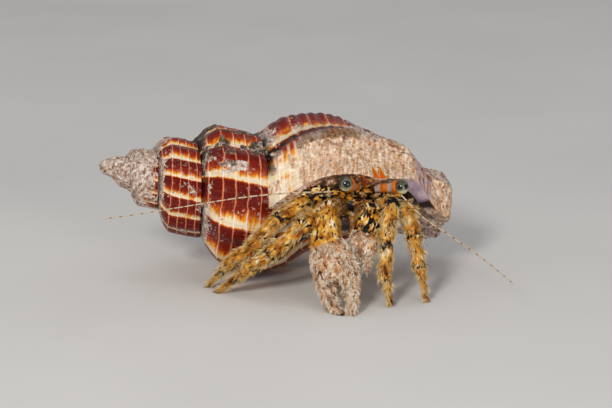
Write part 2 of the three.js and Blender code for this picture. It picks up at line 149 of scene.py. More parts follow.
# The middle of the thorax, and the swellings that carry the legs of each side: centre and size.
THORAX = [
    ((2.8, -3.0, 5.4), (6.0, 3.6, 2.4)),
    ((0.75, -4.35, 6.25), (2.5, 1.7, 1.5)),
    ((5.2, -4.2, 5.7), (2.2, 1.9, 1.7)),
]

# The solids moved so that their box is centred: this is where their own zero now lies.
low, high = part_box("cornea_right")
ORIGIN = np.array((low + high) / 2) / MM - np.array(EYES["right"][1])

# ---- Looks ---------------------------------------------------------------------------------

# The colours follow the ribs, but for two gaps that lie a little further on.
TINT_COUNT = RIB_COUNT[:5] + [(-1.058, 2), (-0.95, 1), (-0.84, 0)] + RIB_COUNT[6:]
# The colours' own length of one turn, and the place and half width of the two orange tongues.
ROUND = TURN * 5
TONGUES = [(16.76, 0.24), (17.24, 0.32)]
TONGUE_TURN = 0.036
# Dark bands: how far down the leg in segments from its root, and how strong.
LEG_BANDS = {
    "leg_2_right": [(0.95, 0.4), (2.0, 0.9), (2.96, 0.4), (3.3, 0.5)],
    "leg_3_right": [(0.3, 0.5), (1.0, 0.8), (2.0, 0.9), (3.25, 0.6)],
    "leg_2_left": [(0.3, 0.5), (1.0, 0.9), (2.28, 0.9), (3.12, 1.0)],
    "leg_3_left": [(0.35, 0.4), (1.1, 0.6), (1.9, 0.6), (2.95, 1.0)],
}
# The layers of a leg's coat: how many bristles in how many tufts, their length, width and rise, their
# shade and how far it varies, and the turns round the leg between which they stand.
LEG_COAT = [
    (330, 54, 1.0, 0.032, 0.4, 0.7, 0.3, 0, 1),
    (150, 30, 1.25, 0.034, 0.9, 0.85, 0.2, 0, 1),
    (7, 7, 2.1, 0.026, 3.0, 0.1, 0.16, 0, 1),
    (7, 7, 2.1, 0.026, 3.0, 0.9, 0.16, 0, 1),
    (50, 12, 1.5, 0.034, 1.3, 0.3, 0.16, 0.17, 0.33),
    (50, 12, 1.5, 0.034, 1.3, 0.8, 0.16, 0.67, 0.83),
    (50, 12, 1.5, 0.034, 1.3, 0.85, 0.16, 0.92, 1.08),
    (50, 12, 1.5, 0.034, 1.3, 0.8, 0.16, 0.42, 0.58),
]
# The dark spots in each eye: the way they face, and their size.
EYE_SPOTS = {
    "right": [((0.14, -0.97, 0.18), 1.0)],
    "left": [((-0.3, -0.93, 0.12), 0.7), ((0.62, -0.75, 0.24), 0.7)],
}
# The rings round a spot: their two edges in degrees, and colour.
EYE_RINGS = [(28, 33, "#2c2e24"), (33, 38, "#7e816a"), (38, 43, "#2c2e26"), (43, 49, "#98967e")]
# Each stretch of coat has its own strip of the unwrap.
STRIPS = 44
strips = iter(range(STRIPS))

# ---- Small tools ---------------------------------------------------------------------------


def mix(a, b, t):
    return a + (b - a) * t


def smooth(a, b, x):
    """0 before a and 1 after b, or the other way round where a is the larger."""
    t = np.clip((np.asarray(x, float) - a) / (b - a), 0, 1)
    return t * t * (3 - 2 * t)


def hill(x, at, wide):
    return np.exp(-(((x - at) / wide) ** 2))


def table(pairs, x):
    return np.interp(x, [p[0] for p in pairs], [p[1] for p in pairs])


def unit(v):
    v = np.asarray(v, float)
    return v / np.maximum(np.linalg.norm(v, axis=-1, keepdims=True), 1e-9)


def round_angles(sides):
    return TURN * np.arange(sides) / sides


def colour(code):
    """A linear colour from a hex code."""
    parts = [int(code[i:i + 2], 16) / 255 for i in (1, 3, 5)]
    return tuple(p / 12.92 if p <= 0.04045 else ((p + 0.055) / 1.055) ** 2.4 for p in parts)


def paint_over(paint, code, share):
    """The paint at each point with a share of one more colour over it."""
    return mix(paint, np.array(colour(code)), np.asarray(share)[..., None])


def lattice(cell, seed):
    n = cell[..., 0] * 73856093 ^ cell[..., 1] * 19349663 ^ cell[..., 2] * 83492791 ^ (seed * 2654435761)
    n = ((n ^ (n >> 13)) * 1274126177) & 0xFFFFFFFF
    return ((n ^ (n >> 16)) & 0xFFFF) / 65535


def noise(points, size, seed, octaves=1):
    """Smooth noise from 0 to 1, with features about `size` mm across."""
    total = 0
    for octave in range(octaves):
        place = points * (2**octave / size) + 31.7 * seed
        cell = np.floor(place).astype(np.int64)
        part = place - cell
        part = part * part * (3 - 2 * part)
        for corner in np.ndindex(2, 2, 2):
            share = np.prod(np.where(corner, part, 1 - part), axis=-1)
            total = total + share * lattice(cell + corner, seed + octave) / 2**octave
    return total / (2 - 0.5 ** (octaves - 1))


def ball_points(rows, sides, pole):
    """Points all round a ball of radius 1, as rings from its top to its foot."""
    polar = np.linspace(pole, math.pi - pole, rows)[:, None]
    angle = round_angles(sides)[None, :]
    out = np.sin(polar)
    return np.stack([out * np.cos(angle), out * np.sin(angle), np.cos(polar) + 0 * angle], -1)


def ring_faces(rows, sides, flip=False):
    """Quads between closed rings, and one polygon over each end."""
    i, j = [a.ravel() for a in np.meshgrid(np.arange(rows - 1), np.arange(sides), indexing="ij")]
    k = (j + 1) % sides
    quads = np.stack([i * sides + j, i * sides + k, (i + 1) * sides + k, (i + 1) * sides + j], -1)
    faces = [quads, np.arange(sides)[None, ::-1], (rows - 1) * sides + np.arange(sides)[None, :]]
    return [f[:, ::-1] for f in faces] if flip else faces


def repeated(faces, count, per):
    """The same faces many times over, each time on the next `per` points."""
    starts = (np.arange(count) * per)[:, None, None]
    return [(np.array(f)[None] + starts).reshape(-1, len(f[0])) for f in faces]


def ring_round(side, up, sides):
    """Places on a ring of radius 1 round each of many points, from two ways square to it."""
    angle = round_angles(sides)[None, :, None]
    return np.cos(angle) * side[:, None] + np.sin(angle) * up[:, None]


def make_piece(name, points, faces, material, replaces=(), values=None, rides=True):
    """A mesh from points in mm and arrays of faces, on the crab's one body."""
    mesh = bpy.data.meshes.new(name)
    placed = np.asarray(points, float) + ORIGIN
    placed[:, 2] = np.maximum(placed[:, 2], 0.0)
    faces = [np.asarray(f, np.int32) for f in faces if len(f)]
    corners = np.concatenate([f.ravel() for f in faces])
    sizes = np.concatenate([np.full(len(f), f.shape[1]) for f in faces])
    mesh.vertices.add(len(placed))
    mesh.vertices.foreach_set("co", (placed * MM).astype(np.float32).ravel())
    mesh.loops.add(len(corners))
    mesh.loops.foreach_set("vertex_index", corners)
    mesh.polygons.add(len(sizes))
    mesh.polygons.foreach_set("loop_start", np.concatenate([[0], np.cumsum(sizes)[:-1]]).astype(np.int32))
    mesh.polygons.foreach_set("use_smooth", np.ones(len(sizes), bool))
    mesh.update(calc_edges=True)
    set_values(mesh, values or {})
    mesh.materials.append(material)
    piece = bpy.data.objects.new(name, mesh)
    bpy.context.scene.collection.objects.link(piece)
    if rides:
        finish_piece(piece, replaces)
    return piece


def set_values(mesh, values):
    """Named numbers or vectors, one for each point."""
    for key, data in values.items():
        data = np.asarray(data, np.float32)
        kind, field = ("FLOAT", "value") if data.ndim == 1 else ("FLOAT_VECTOR", "vector")
        mesh.attributes.new(key, kind, "POINT").data.foreach_set(field, data.ravel())


def finish_piece(piece, replaces):
    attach(piece, "root")
    if replaces:
        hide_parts(*replaces)


def applied(piece):
    """The piece's mesh once its modifiers have run."""
    bpy.context.view_layer.update()
    return bpy.data.meshes.new_from_object(piece.evaluated_get(bpy.context.evaluated_depsgraph_get()))


# ---- Materials -----------------------------------------------------------------------------


def maths(operation):
    return lambda wire, other=0.0: wire.shader.calc(operation, wire, other)


class Wire:
    """One output of a shader's node. Arithmetic on it adds nodes."""

    def __init__(self, shader, socket):
        self.shader, self.socket = shader, socket

    __add__, __sub__, __mul__, __abs__ = map(maths, ("ADD", "SUBTRACT", "MULTIPLY", "ABSOLUTE"))

    def __rsub__(self, other):
        return self.shader.calc("SUBTRACT", other, self)


class Shader:
    """Builds one material's nodes. Inputs are numbers, colours or wires."""

    def __init__(self, name, **settings):
        self.material = bpy.data.materials.new(name)
        self.material.use_nodes = True
        self.tree = self.material.node_tree
        self.surface = self.tree.nodes["Principled BSDF"]
        for key, value in settings.items():
            self.surface.inputs[key.replace("_", " ")].default_value = value

    def put(self, value, socket):
        if isinstance(value, Wire):
            self.tree.links.new(value.socket, socket)
        elif isinstance(value, tuple) and len(value) == 3 and len(socket.default_value) == 4:
            socket.default_value = (*value, 1)
        else:
            socket.default_value = value

    def node(self, kind, inputs, output=0, **settings):
        node = self.tree.nodes.new("ShaderNode" + kind)
        for key, value in settings.items():
            setattr(node, key, value)
        for key, value in inputs.items():
            self.put(value, node.inputs[key])
        return Wire(self, node.outputs[output])

    def value(self, name):
        return self.node("Attribute", {}, "Fac", attribute_name=name)

    def vector(self, name):
        return self.node("Attribute", {}, "Vector", attribute_name=name)

    def split(self, vector):
        return [self.node("SeparateXYZ", {0: vector}, axis) for axis in range(3)]

    def millimetres(self):
        return self.scaled(self.node("TexCoord", {}, "Object"), (1000, 1000, 1000))

    def scaled(self, vector, by):
        return self.node("VectorMath", {0: vector, 1: by}, operation="MULTIPLY")

    def noise(self, vector, per_mm, detail=3.0, rough=0.55):
        inputs = {"Vector": vector, "Scale": per_mm, "Detail": detail, "Roughness": rough}
        return self.node("TexNoise", inputs, "Fac")

    def patches(self, vector, per_mm, low, high, detail=3.0, rough=0.55):
        return self.step(self.noise(vector, per_mm, detail, rough), low, high)

    def calc(self, operation, a, b=0.0):
        return self.node("Math", {0: a, 1: b}, operation=operation)

    def step(self, value, low, high):
        """0 below `low`, 1 above `high`, smooth between."""
        inputs = {"Value": value, "From Min": low, "From Max": high}
        return self.node("MapRange", inputs, interpolation_type="SMOOTHSTEP")

    def stripe(self, value, start, every, inner, outer):
        """1 on thin lines that lie `every` apart, with their half widths in shares of that."""
        beat = self.calc("FRACT", (value - (start - every / 2)) * (1 / every))
        return 1 - self.step(abs(beat - 0.5), inner, outer)

    def ramp(self, value, stops):
        node = self.tree.nodes.new("ShaderNodeValToRGB")
        elements = node.color_ramp.elements
        while len(elements) < len(stops):
            elements.new(0.5)
        for element, (place, code) in zip(elements, stops):
            element.position = place
            element.color = (*colour(code), 1)
        self.put(value, node.inputs[0])
        return Wire(self, node.outputs[0])

    def blend(self, share, a, b, kind="MIX"):
        a, b = [colour(c) if isinstance(c, str) else c for c in (a, b)]
        return self.node("MixRGB", {"Fac": share, "Color1": a, "Color2": b}, blend_type=kind)

    def bump(self, height, strength, depth_mm, normal=None):
        inputs = {"Height": height, "Strength": strength, "Distance": depth_mm * MM}
        return self.node("Bump", inputs | ({"Normal": normal} if normal else {}), "Normal")

    def finish(self, base, rough, normal=None):
        for key, value in (("Base Color", base), ("Roughness", rough), ("Normal", normal)):
            if value is not None:
                self.put(value, self.surface.inputs[key])
        return self.material


def shell_material():
    """Maroon ribs fading through rust and gold to cream, orange cords, a chalky pink crust, and painted shade
    in the sutures and inside the mouth.
    """
    n = Shader("shell", Coat_Weight=0.05, Coat_Roughness=0.15, Specular_IOR_Level=0.18)
    place, spiral, lip = n.millimetres(), n.vector("spiral"), n.value("arch")
    turn, along, level = n.split(spiral)
    mottle = n.noise(place, 1.6, 4)
    growth = n.noise(n.scaled(spiral, (7.0, 0.5, 0.0)), 1.0)
    down = n.noise(n.scaled(spiral, (0.8, 6.0, 0.0)), 1.0, 4, 0.6)
    ribs = n.value("rib") + mottle * 0.8 + down * 0.6 - 0.7
    pigment = n.ramp(ribs, [
        (0.0, "#ead8ba"), (0.08, "#ebcb92"), (0.17, "#e8981c"), (0.29, "#c9600c"), (0.4, "#9e370a"),
        (0.56, "#801d0b"), (1.0, "#600e0a"),
    ])
    pigment = n.blend(n.step(growth, 0.5, 0.75) * 0.35, pigment, "#a0401a")
    cord = n.stripe(level + mottle * 0.035 - 0.017, CORD_START, CORD_STEP, 0.03, 0.08)
    cord = cord * n.patches(place, 7.0, 0.2, 0.45, 4, 0.65)
    pigment = n.blend(cord * 0.95, pigment, n.ramp(ribs, [(0.1, "#fdeedd"), (0.5, "#dd7f50")]))
    threads = n.stripe(level, 1.0, 0.03, 0.08, 0.3) * lip
    pigment = n.blend(threads * 0.5, pigment, "#fbeed8")

    grain = n.noise(place, 4.5, 5, 0.72)
    crust = n.ramp(down * 0.42 + grain * 0.58, [
        (0.36, "#472318"), (0.42, "#9a6240"), (0.465, "#d0a27a"), (0.51, "#e8cba8"), (0.56, "#f6e6ce"),
        (0.64, "#ffffff"),
    ])
    grey = n.ramp(grain, [(0.38, "#54383a"), (0.46, "#94807e"), (0.52, "#baa8a4"), (0.62, "#e6dcd8")])
    crust = n.blend((1 - lip) * 0.6, crust, grey)
    weed = n.step(n.value("weed") + n.noise(place, 1.9, 4, 0.65) * 2.4 - 1.2, 0.3, 0.75)
    weed_tone = n.ramp(grain, [(0.42, "#120c09"), (0.52, "#3a2618"), (0.64, "#94785f")])
    crust = n.blend(weed * 0.9, crust, weed_tone)
    crust = n.blend(threads * 0.3, crust, "#c98a5c")
    crust = n.blend(n.patches(place, 0.7, 0.46, 0.62) * lip * 0.27, crust, "#d98f50")
    crust = n.blend(n.patches(place, 1.2, 0.46, 0.6, 4, 0.6) * lip * 0.3, crust, "#f4d8cc")
    crust = n.blend(n.patches(place, 2.4, 0.52, 0.7, 4) * 0.6, crust, "#7a6848")
    crust = n.blend(n.value("violet") * n.step(grain, 0.42, 0.6) * 0.7, crust, "#8a78b4")
    specks = n.patches(place, 4.2, 0.59, 0.64, 4, 0.7) * n.patches(place, 0.6, 0.42, 0.58, 2)
    cover = n.calc("MAXIMUM", n.step(n.value("crust") + grain * 1.5 - 0.75, 0.42, 0.58), specks)
    chips = n.patches(place, 1.7, 0.54, 0.6, 4, 0.65) * n.value("chips")
    cover = cover * (1 - chips * 0.85)
    outside = n.blend(cover, n.blend(chips, pigment, "#74200f"), crust)

    # Two orange tongues run up from the lip's edge, each to a point.
    height = turn * (-1 / (ROUND * TONGUE_TURN))
    for foot, half in TONGUES:
        off = along + mottle * 0.3 + height * 0.3 - (foot + CENTRE_LEAD + 0.15)
        tongue = 1 - height - abs(off) * (1 / half)
        tone = n.ramp(tongue, [(0.1, "#d89a28"), (0.3, "#d87000"), (0.55, "#d45400")])
        outside = n.blend(n.step(tongue, 0.0, 0.12), outside, tone)
    # Painted shade: the sutures and the furrow at the start of the lip's thick band turn near black in
    # patches.
    outside = n.blend(n.value("groove_shade") * n.patches(place, 2.6, 0.36, 0.5, 4, 0.7), outside, "#150c0b")
    lining = n.ramp(n.noise(place, 0.8), [(0.3, "#b09ab4"), (0.5, "#d4bfcc"), (0.7, "#efe0dc")])
    # Painted shade: inside the mouth the lining turns near black, away from the canal.
    lining = n.blend(n.value("deep"), lining, "#1e120e")
    bump = n.bump(growth, 0.4, 0.03)
    bump = n.bump(cord, 0.7, 0.04, bump)
    bump = n.bump(threads, 0.5, 0.02, bump)
    bump = n.bump(grain, cover * 0.9 + 0.05, 0.1, bump)
    return n.finish(n.blend(n.value("inside"), outside, lining), cover * 0.5 + 0.22, bump)


def rim_material():
    """The cut edge of the lip: cream crust, patched near black partly as weed and partly as painted shadow,
    smooth lilac, and then painted shade where it runs into the canal's hollow.
    """
    n = Shader("lip_rim", Coat_Weight=0.1, Coat_Roughness=0.3)
    place = n.millimetres()
    along = n.split(n.vector("spiral"))[1] - CENTRE_LEAD

    def stretch(rise, full, fall, end):
        return n.step(along, rise, full) - n.step(along, fall, end)

    grain = n.noise(place, 5.0, 5, 0.72)
    crust = n.ramp(grain, [
        (0.36, "#4e281e"), (0.43, "#b07a5a"), (0.49, "#e6c4a2"), (0.54, "#f4e2cc"), (0.62, "#fffaf2"),
    ])
    crust = n.blend(n.patches(place, 1.1, 0.45, 0.6, 2) * 0.5, crust, "#c06a24")
    # Partly weed and partly painted shadow: from 12.6 to 17 mm along, patches turn near black with some
    # ochre, as where the crab's dark hairy body shades the rim.
    weed = n.ramp(n.noise(place, 3.4), [
        (0.4, "#160e0a"), (0.52, "#3c1e0e"), (0.6, "#a8661c"), (0.68, "#d8a040"),
    ])
    crust = n.blend(stretch(12.6, 13.6, 16.5, 17.0) * n.patches(place, 2.0, 0.3, 0.46) * 0.95, crust, weed)
    rust = stretch(15.7, 16.0, 16.8, 17.2) * n.patches(place, 3.0, 0.48, 0.54, 4, 0.7)
    crust = n.blend(rust * 0.9, crust, "#b04a04")
    lilac = n.ramp(n.noise(place, 0.9), [(0.3, "#a88ca2"), (0.5, "#cdb4c0"), (0.7, "#ead8d8")])
    base = n.blend(n.step(along, 18.58, 18.98), crust, lilac)
    # Painted shade: a near-black band where the rim runs into the canal's hollow, with crust again beyond it.
    base = n.blend(stretch(20.38, 20.68, 20.98, 21.28), base, "#2a1612")
    base = n.blend(n.step(along, 20.98, 21.28), base, crust)
    return n.finish(base, 0.5, n.bump(grain, 0.8, 0.08))


def limb_colour(n):
    """Ochre crust with cream patches, black spots and dark bands: the same on skin and bristles."""
    root = n.vector("root")
    patches = n.noise(root, 1.5)
    base = n.ramp(patches, [
        (0.34, "#8e4e10"), (0.44, "#cc8420"), (0.53, "#e2a83e"), (0.61, "#f0d596"), (0.69, "#faedcc"),
    ])
    # The hands: pinkish cream with brown patches of their own, the darkest end deepened as painted shade in
    # the hollows between the tufts.
    hand = n.ramp(patches, [(0.34, "#6a3a1c"), (0.43, "#b27a4a"), (0.54, "#e2bd98"), (0.64, "#f8ebda")])
    base = n.blend(n.value("hand"), base, hand)
    spots = n.noise(n.scaled(n.vector("lay"), (1.1, 2.6, 1.0)), 1.7, 2)
    dark = n.value("band") + spots * 3.2 + n.noise(root, 5.0) - 2.0
    base = n.blend(n.step(dark, 0.38, 0.48), base, "#7a3c10")
    return n.blend(n.step(dark, 0.48, 0.56), base, "#0e0908")


def limb_material():
    soft = dict(Subsurface_Weight=0.12, Subsurface_Scale=0.0004)
    n = Shader("limb_crust", Coat_Weight=0.12, Specular_IOR_Level=0.2, **soft)
    place = n.millimetres()
    base = n.blend(n.value("membrane"), limb_colour(n), "#3a1d12")
    rough = n.ramp(n.noise(place, 5.0), [(0.3, "#6a6a6a"), (0.7, "#a6a6a6")])
    cells = n.node("TexVoronoi", {"Vector": place, "Scale": 9.0}, "Distance", feature="F1")
    return n.finish(base, rough, n.bump(n.noise(place, 14.0), 0.4, 0.02, n.bump(cells, 0.5, 0.03)))


def bristle_material():
    """Bristles carry the crust's colour at their root, fading to straw at the tip."""
    n = Shader("bristle", Specular_IOR_Level=0.1)
    shade = n.value("shade")
    tip = n.ramp(shade, [
        (0.0, "#120c08"), (0.18, "#24160c"), (0.3, "#8e5518"), (0.5, "#d69a3e"), (0.75, "#f2cf82"),
        (1.0, "#fbe8bc"),
    ])
    # On the hands the tips go from brown to near white: their own pinkish tone, with painted shade on the
    # darkest tufts and painted highlights on the palest.
    pale = n.ramp(shade, [(0.3, "#7e4c34"), (0.5, "#d9a284"), (0.7, "#fbdcc4"), (1.0, "#fffaf4")])
    tip = n.blend(n.value("hand") * 0.65, tip, pale)
    return n.finish(n.blend(n.step(n.value("along"), 0.0, 0.5), limb_colour(n), tip), 0.6)


def painted_material(name, rough, bump_depth, bump_per_mm, **settings):
    """The colour held at each point, with fine grain over it."""
    n = Shader(name, **settings)
    grain = n.noise(n.millimetres(), bump_per_mm)
    base = n.blend(0.12, n.vector("paint"), n.ramp(grain, [(0.3, "#000000"), (0.7, "#ffffff")]), "OVERLAY")
    return n.finish(base, rough, n.bump(grain, 0.4, bump_depth))


LIMB = limb_material()
BRISTLE = bristle_material()
EYE = painted_material("cornea", 0.12, 0.004, 30.0, Coat_Weight=0.2, Coat_Roughness=0.05)
STALK = painted_material("eyestalk", 0.38, 0.01, 14.0, Coat_Weight=0.08, Specular_IOR_Level=0.2)
FEELER = painted_material("feeler", 0.35, 0.006, 20.0, Subsurface_Weight=0.2, Subsurface_Scale=0.0003)


# ---- Shell ---------------------------------------------------------------------------------


def size_at(turns):
    return MOUTH_SIZE * GROWTH**turns


def crest_radius(size):
    return CREST * (size / CREST_AT) ** CREST_POWER * (1 - np.exp(-size / YOUNG_SIZE))


def whorl_radius(turns, w, wobble=0.0):
    size = size_at(turns)
    crest = crest_radius(size)
    suture = SUTURE_DEPTH * crest_radius(size / GROWTH)
    rise = mix(SHOULDER, LIP_SHOULDER, smooth(-1, -0.25, turns))
    shoulder = np.sin(TURN / 4 * np.clip((w - 1) / rise, 0, 1)) ** 0.8
    body = crest * mix(table(BASE_INNER, w), table(BASE_LIP, w), smooth(-0.85, -0.05, turns))
    rounded = mix(suture, body, shoulder)
    conical = mix(suture, SUTURE_DEPTH * crest, (w - 1) / (GROWTH - 1))
    plain = mix(conical, rounded, smooth(1, 4.5, size))
    # Ribs are 0 between two of them and 1 on top of one.
    ribs = 0.5 - 0.5 * np.cos(TURN * table(RIB_COUNT, turns + wobble))
    ribbed = smooth(1, 1.12, w) * (1 - smooth(1.62, 1.95, w)) * smooth(2, 6, size)
    relief = RIB_HEIGHT * (2 * ribs - 1) + VARIX_HEIGHT * hill(turns, -VARIX_TURN, 0.045)
    to_end = np.clip((SHELL_LENGTH + CENTRE_LEAD - size * w) / END_ROUND, 0, 1)
    ending = np.where(turns > -1, mix(0.6, 1, np.sqrt(to_end * (2 - to_end))), 1)
    return plain * ending * (1 + relief * ribbed)


def shell_angle(turns, w):
    """The angle round the axis, where the lip leans back towards the canal."""
    share = np.clip((w - 1) / 0.75, 0, 1)
    back = (1 - (1 - share) ** 5) * (1 - 0.55 * smooth(1.68, 1.92, w))
    return LIP_ANGLE + TURN * turns - LIP_RAKE * smooth(-0.6, 0, turns) * back


def shell_axes(x, radius, angle):
    """Places round the shell's axis, which bends up at the canal, put where the shell lies."""
    y = -radius * np.sin(angle)
    z = radius * np.cos(angle) + CANAL_LIFT * smooth(*CANAL_BEND, x)
    level, falling = math.cos(SHELL_SLOPE), math.sin(SHELL_SLOPE)
    x, z = x * level + z * falling, z * level - x * falling
    ahead, aside = math.cos(SHELL_HEADING), math.sin(SHELL_HEADING)
    x, y = x * ahead - y * aside, x * aside + y * ahead
    return np.stack([x, y, z], -1) + SHELL_TIP


def tint_at(turns):
    """How dark a rib's colour is: paler for longer on the side towards the young shell, and at the lip."""
    count = table(TINT_COUNT, turns)
    off = count - np.round(count)
    ribs = np.where(off > 0, off / 0.57, smooth(0.06, 0.17, -off))
    return mix(ribs, 0.42 * smooth(-0.055, -0.12, turns), smooth(-0.14, -0.12, turns))


def arch_at(turns, w):
    """The thick band behind the lip, which is paler and more finely threaded."""
    return smooth(-0.125, -0.1, turns) * smooth(-0.02, 0.0, w - 1)


def groove_at(turns, w):
    """The sutures, and the furrow where the lip's thick band begins: sunk in the relief, and darkened there
    with painted shade.
    """
    narrow = (1 - smooth(1.0, 1.04, w)) * smooth(-3, -1.5, turns) * (1 - smooth(-0.1, -0.06, turns))
    return np.clip(narrow + hill(turns, -0.128, 0.014) * (1 - smooth(1.36, 1.46, w)), 0, 1)


def crust_at(turns, w, x, place):
    """How thickly the pink crust lies: over the tip, the lip's band and the canal, and in patches."""
    from_end = SHELL_LENGTH - x
    tip = 1 - smooth(2.4, 4.4, x + 2.4 * (noise(place, 1.3, 3, 2) - 0.5))
    arch = arch_at(turns, w) * mix(0.08, 0.75, smooth(1.08, 1.16, w))
    ragged = noise(place, 0.6, 6, 3) - 0.5
    back = 0.8 * smooth(-0.34, -0.24, turns + 0.5 * ragged) * smooth(1.44, 1.54, w + 0.4 * ragged)
    canal = smooth(3.4, 1.8, from_end - 2.4 * ragged)
    under = 0.8 * smooth(5.8, 4.4, from_end) * smooth(-0.25, -0.42, turns)
    canal = np.maximum(canal, under) * smooth(-1.3, -0.9, turns)
    patches = 0.7 * smooth(0.64, 0.76, noise(place, 1.5, 8, 2)) * smooth(0.3, 0.5, noise(place, 0.35, 28))
    # Weed and grit settle on the side that lies uppermost.
    upward = smooth(0.35, 0.95, np.cos(LIP_ANGLE + TURN * turns)) * smooth(-0.24, -0.32, turns)
    upward = 0.8 * upward * smooth(0.44, 0.6, noise(place, 0.7, 18, 2))
    seam = 0.9 * (1 - smooth(1.0, 1.13, w)) * smooth(0.4, 0.55, noise(place, 0.8, 5, 2))
    return np.clip(np.maximum.reduce([tip, arch, back, canal, patches, upward, seam]), 0, 1)


def weed_at(turns, w, x):
    """Dark weed on the arch's top edge and on the whorls' upper sides."""
    edge = smooth(-0.066, -0.096, turns) * smooth(1.62, 1.36, w) * arch_at(turns, w)
    upper = 0.8 * smooth(-0.24, -0.3, turns) * smooth(0.3, 0.9, np.cos(LIP_ANGLE + TURN * turns))
    return np.maximum(edge, upper) * smooth(3.4, 5.4, x)


def relief_at(turns, w, x, place, crust):
    """The outer surface's fine relief: cords, crust, sutures, and the cords' knobs above the arch."""
    size = size_at(turns)
    beat = (w - CORD_START) / CORD_STEP
    cord = hill(beat, np.round(beat), 0.12) * smooth(1.01, 1.03, w)
    lump = noise(place, 0.75, 21, 2) - 0.45
    knob = np.maximum(noise(place, 0.34, 33, 2) - 0.42, 0)
    grit = np.maximum(noise(place, 0.16, 35) - 0.5, 0)
    knobbly = smooth(SHELL_LENGTH - 2.6, SHELL_LENGTH - 0.8, x)
    above = smooth(-0.32, -0.27, turns) * smooth(-0.13, -0.16, turns) * smooth(1.03, 1.1, w)
    above = above * smooth(1.56, 1.46, w) * (0.5 - 0.5 * np.cos(TURN * w / 0.055))
    relief = 0.03 * cord * (1 - crust) * smooth(1.5, 5, size) + 0.03 * (noise(place, 2.2, 9, 2) - 0.5)
    relief = relief + crust * (0.14 * lump + 0.26 * knob + 0.1 * grit) * mix(1, 2.6, knobbly)
    relief = relief - 0.07 * (1 - smooth(1.0, 1.03, w)) * smooth(2, 5, size)
    return relief - 0.1 * groove_at(turns, w) * smooth(-0.2, -0.14, turns) + 0.1 * above


def shell_surface():
    """The outer surface as one helical strip, closed at its tip, its canal and its lip."""
    columns, rows, base_rows = 264, 56, 84
    height = rows + base_rows + 1
    first = math.ceil(math.log(CENTRE_LEAD / MOUTH_SIZE) / math.log(GROWTH) * columns)
    last = np.arange(-columns, 1)
    w_young = 1 + (GROWTH - 1) * np.arange(rows) / rows
    young = np.meshgrid(np.arange(first, -columns) / columns, w_young, indexing="ij")
    grid_turns, grid_w = [a.ravel() for a in young]
    share = np.arange(base_rows + 1) / base_rows
    base = GROWTH + ((SHELL_LENGTH + CENTRE_LEAD) / size_at(last / columns)[:, None] - GROWTH) * share
    last_w = np.concatenate([np.broadcast_to(w_young, (len(last), rows)), base], axis=1).ravel()
    turns = np.concatenate([grid_turns, np.repeat(last / columns, height)])
    w = np.concatenate([grid_w, last_w])

    def vertex(c, r):
        """Row `rows` of a young column is row 0 of the column one turn on."""
        c, r = np.broadcast_arrays(c, r)
        onward = (c < -columns) & (r == rows)
        c = np.where(onward, c + columns, c)
        r = np.where(onward, 0, r)
        return np.where(c < -columns, (c - first) * rows + r, len(grid_w) + (c + columns) * height + r)

    def strip(c, r):
        c, r = [a.ravel() for a in np.meshgrid(c, r, indexing="ij")]
        return np.stack([vertex(c, r), vertex(c + 1, r), vertex(c + 1, r + 1), vertex(c, r + 1)], -1)

    def fan(hub, a, b):
        return np.stack([b, a, np.full(len(a), hub)], -1)

    size = size_at(turns)
    x = np.minimum(size * w - CENTRE_LEAD, SHELL_LENGTH)
    wobble = 0.012 * (noise(np.stack([turns * 8, w * 3, 0 * w], -1), 1.0, 4) - 0.5)
    radius = whorl_radius(turns, w, wobble)
    angle = shell_angle(turns, w)
    place = shell_axes(x, radius, angle)
    crust = crust_at(turns, w, x, place)
    points = shell_axes(x, radius + relief_at(turns, w, x, place, crust), angle)
    hubs = shell_axes(np.array([-0.12, SHELL_LENGTH]), np.zeros(2), np.zeros(2))

    young_c, last_c = np.arange(first, first + columns), np.arange(-columns, 0)
    r = np.arange(rows)
    tip, canal, end = len(points), len(points) + 1, height - 1
    # The wall at the lip runs from the last column to the whorl inside it.
    inner, outer = vertex(-columns, np.arange(rows, height)), vertex(0, np.arange(height))
    skipped = len(outer) - len(inner)
    faces = [
        strip(np.arange(first, 0), r),
        strip(last_c, np.arange(rows, end)),
        np.stack([outer[skipped:-1], inner[:-1], inner[1:], outer[skipped + 1:]], -1),
        fan(tip, vertex(young_c + 1, 0), vertex(young_c, 0)),
        fan(tip, vertex(first, r), vertex(first, r + 1)),
        fan(canal, vertex(last_c, end), vertex(last_c + 1, end)),
        fan(canal, outer[-1:], inner[-1:]),
        fan(inner[0], outer[1:skipped + 1], outer[:skipped]),
    ]
    violet = smooth(0.2, 0.45, noise(place, 0.8, 15)) * smooth(19.08, 19.68, x) * smooth(20.98, 20.38, x)
    values = {
        "rib": mix(0.75, tint_at(turns + wobble), smooth(0.8, 2.4, size)),
        "crust": crust,
        "groove_shade": groove_at(turns, w),
        "arch": arch_at(turns, w),
        "violet": violet * smooth(-0.13, -0.1, turns),
        "weed": weed_at(turns, w, x),
        "chips": arch_at(turns, w) * smooth(-0.045, -0.075, turns) * smooth(12, 14, x),
        "spiral": np.stack([turns * ROUND, w * size, w], -1),
    }
    values = {key: np.concatenate([data, np.zeros((2, *data.shape[1:]))]) for key, data in values.items()}
    values["crust"][-2:] = 1
    return np.concatenate([points, hubs]), faces, values


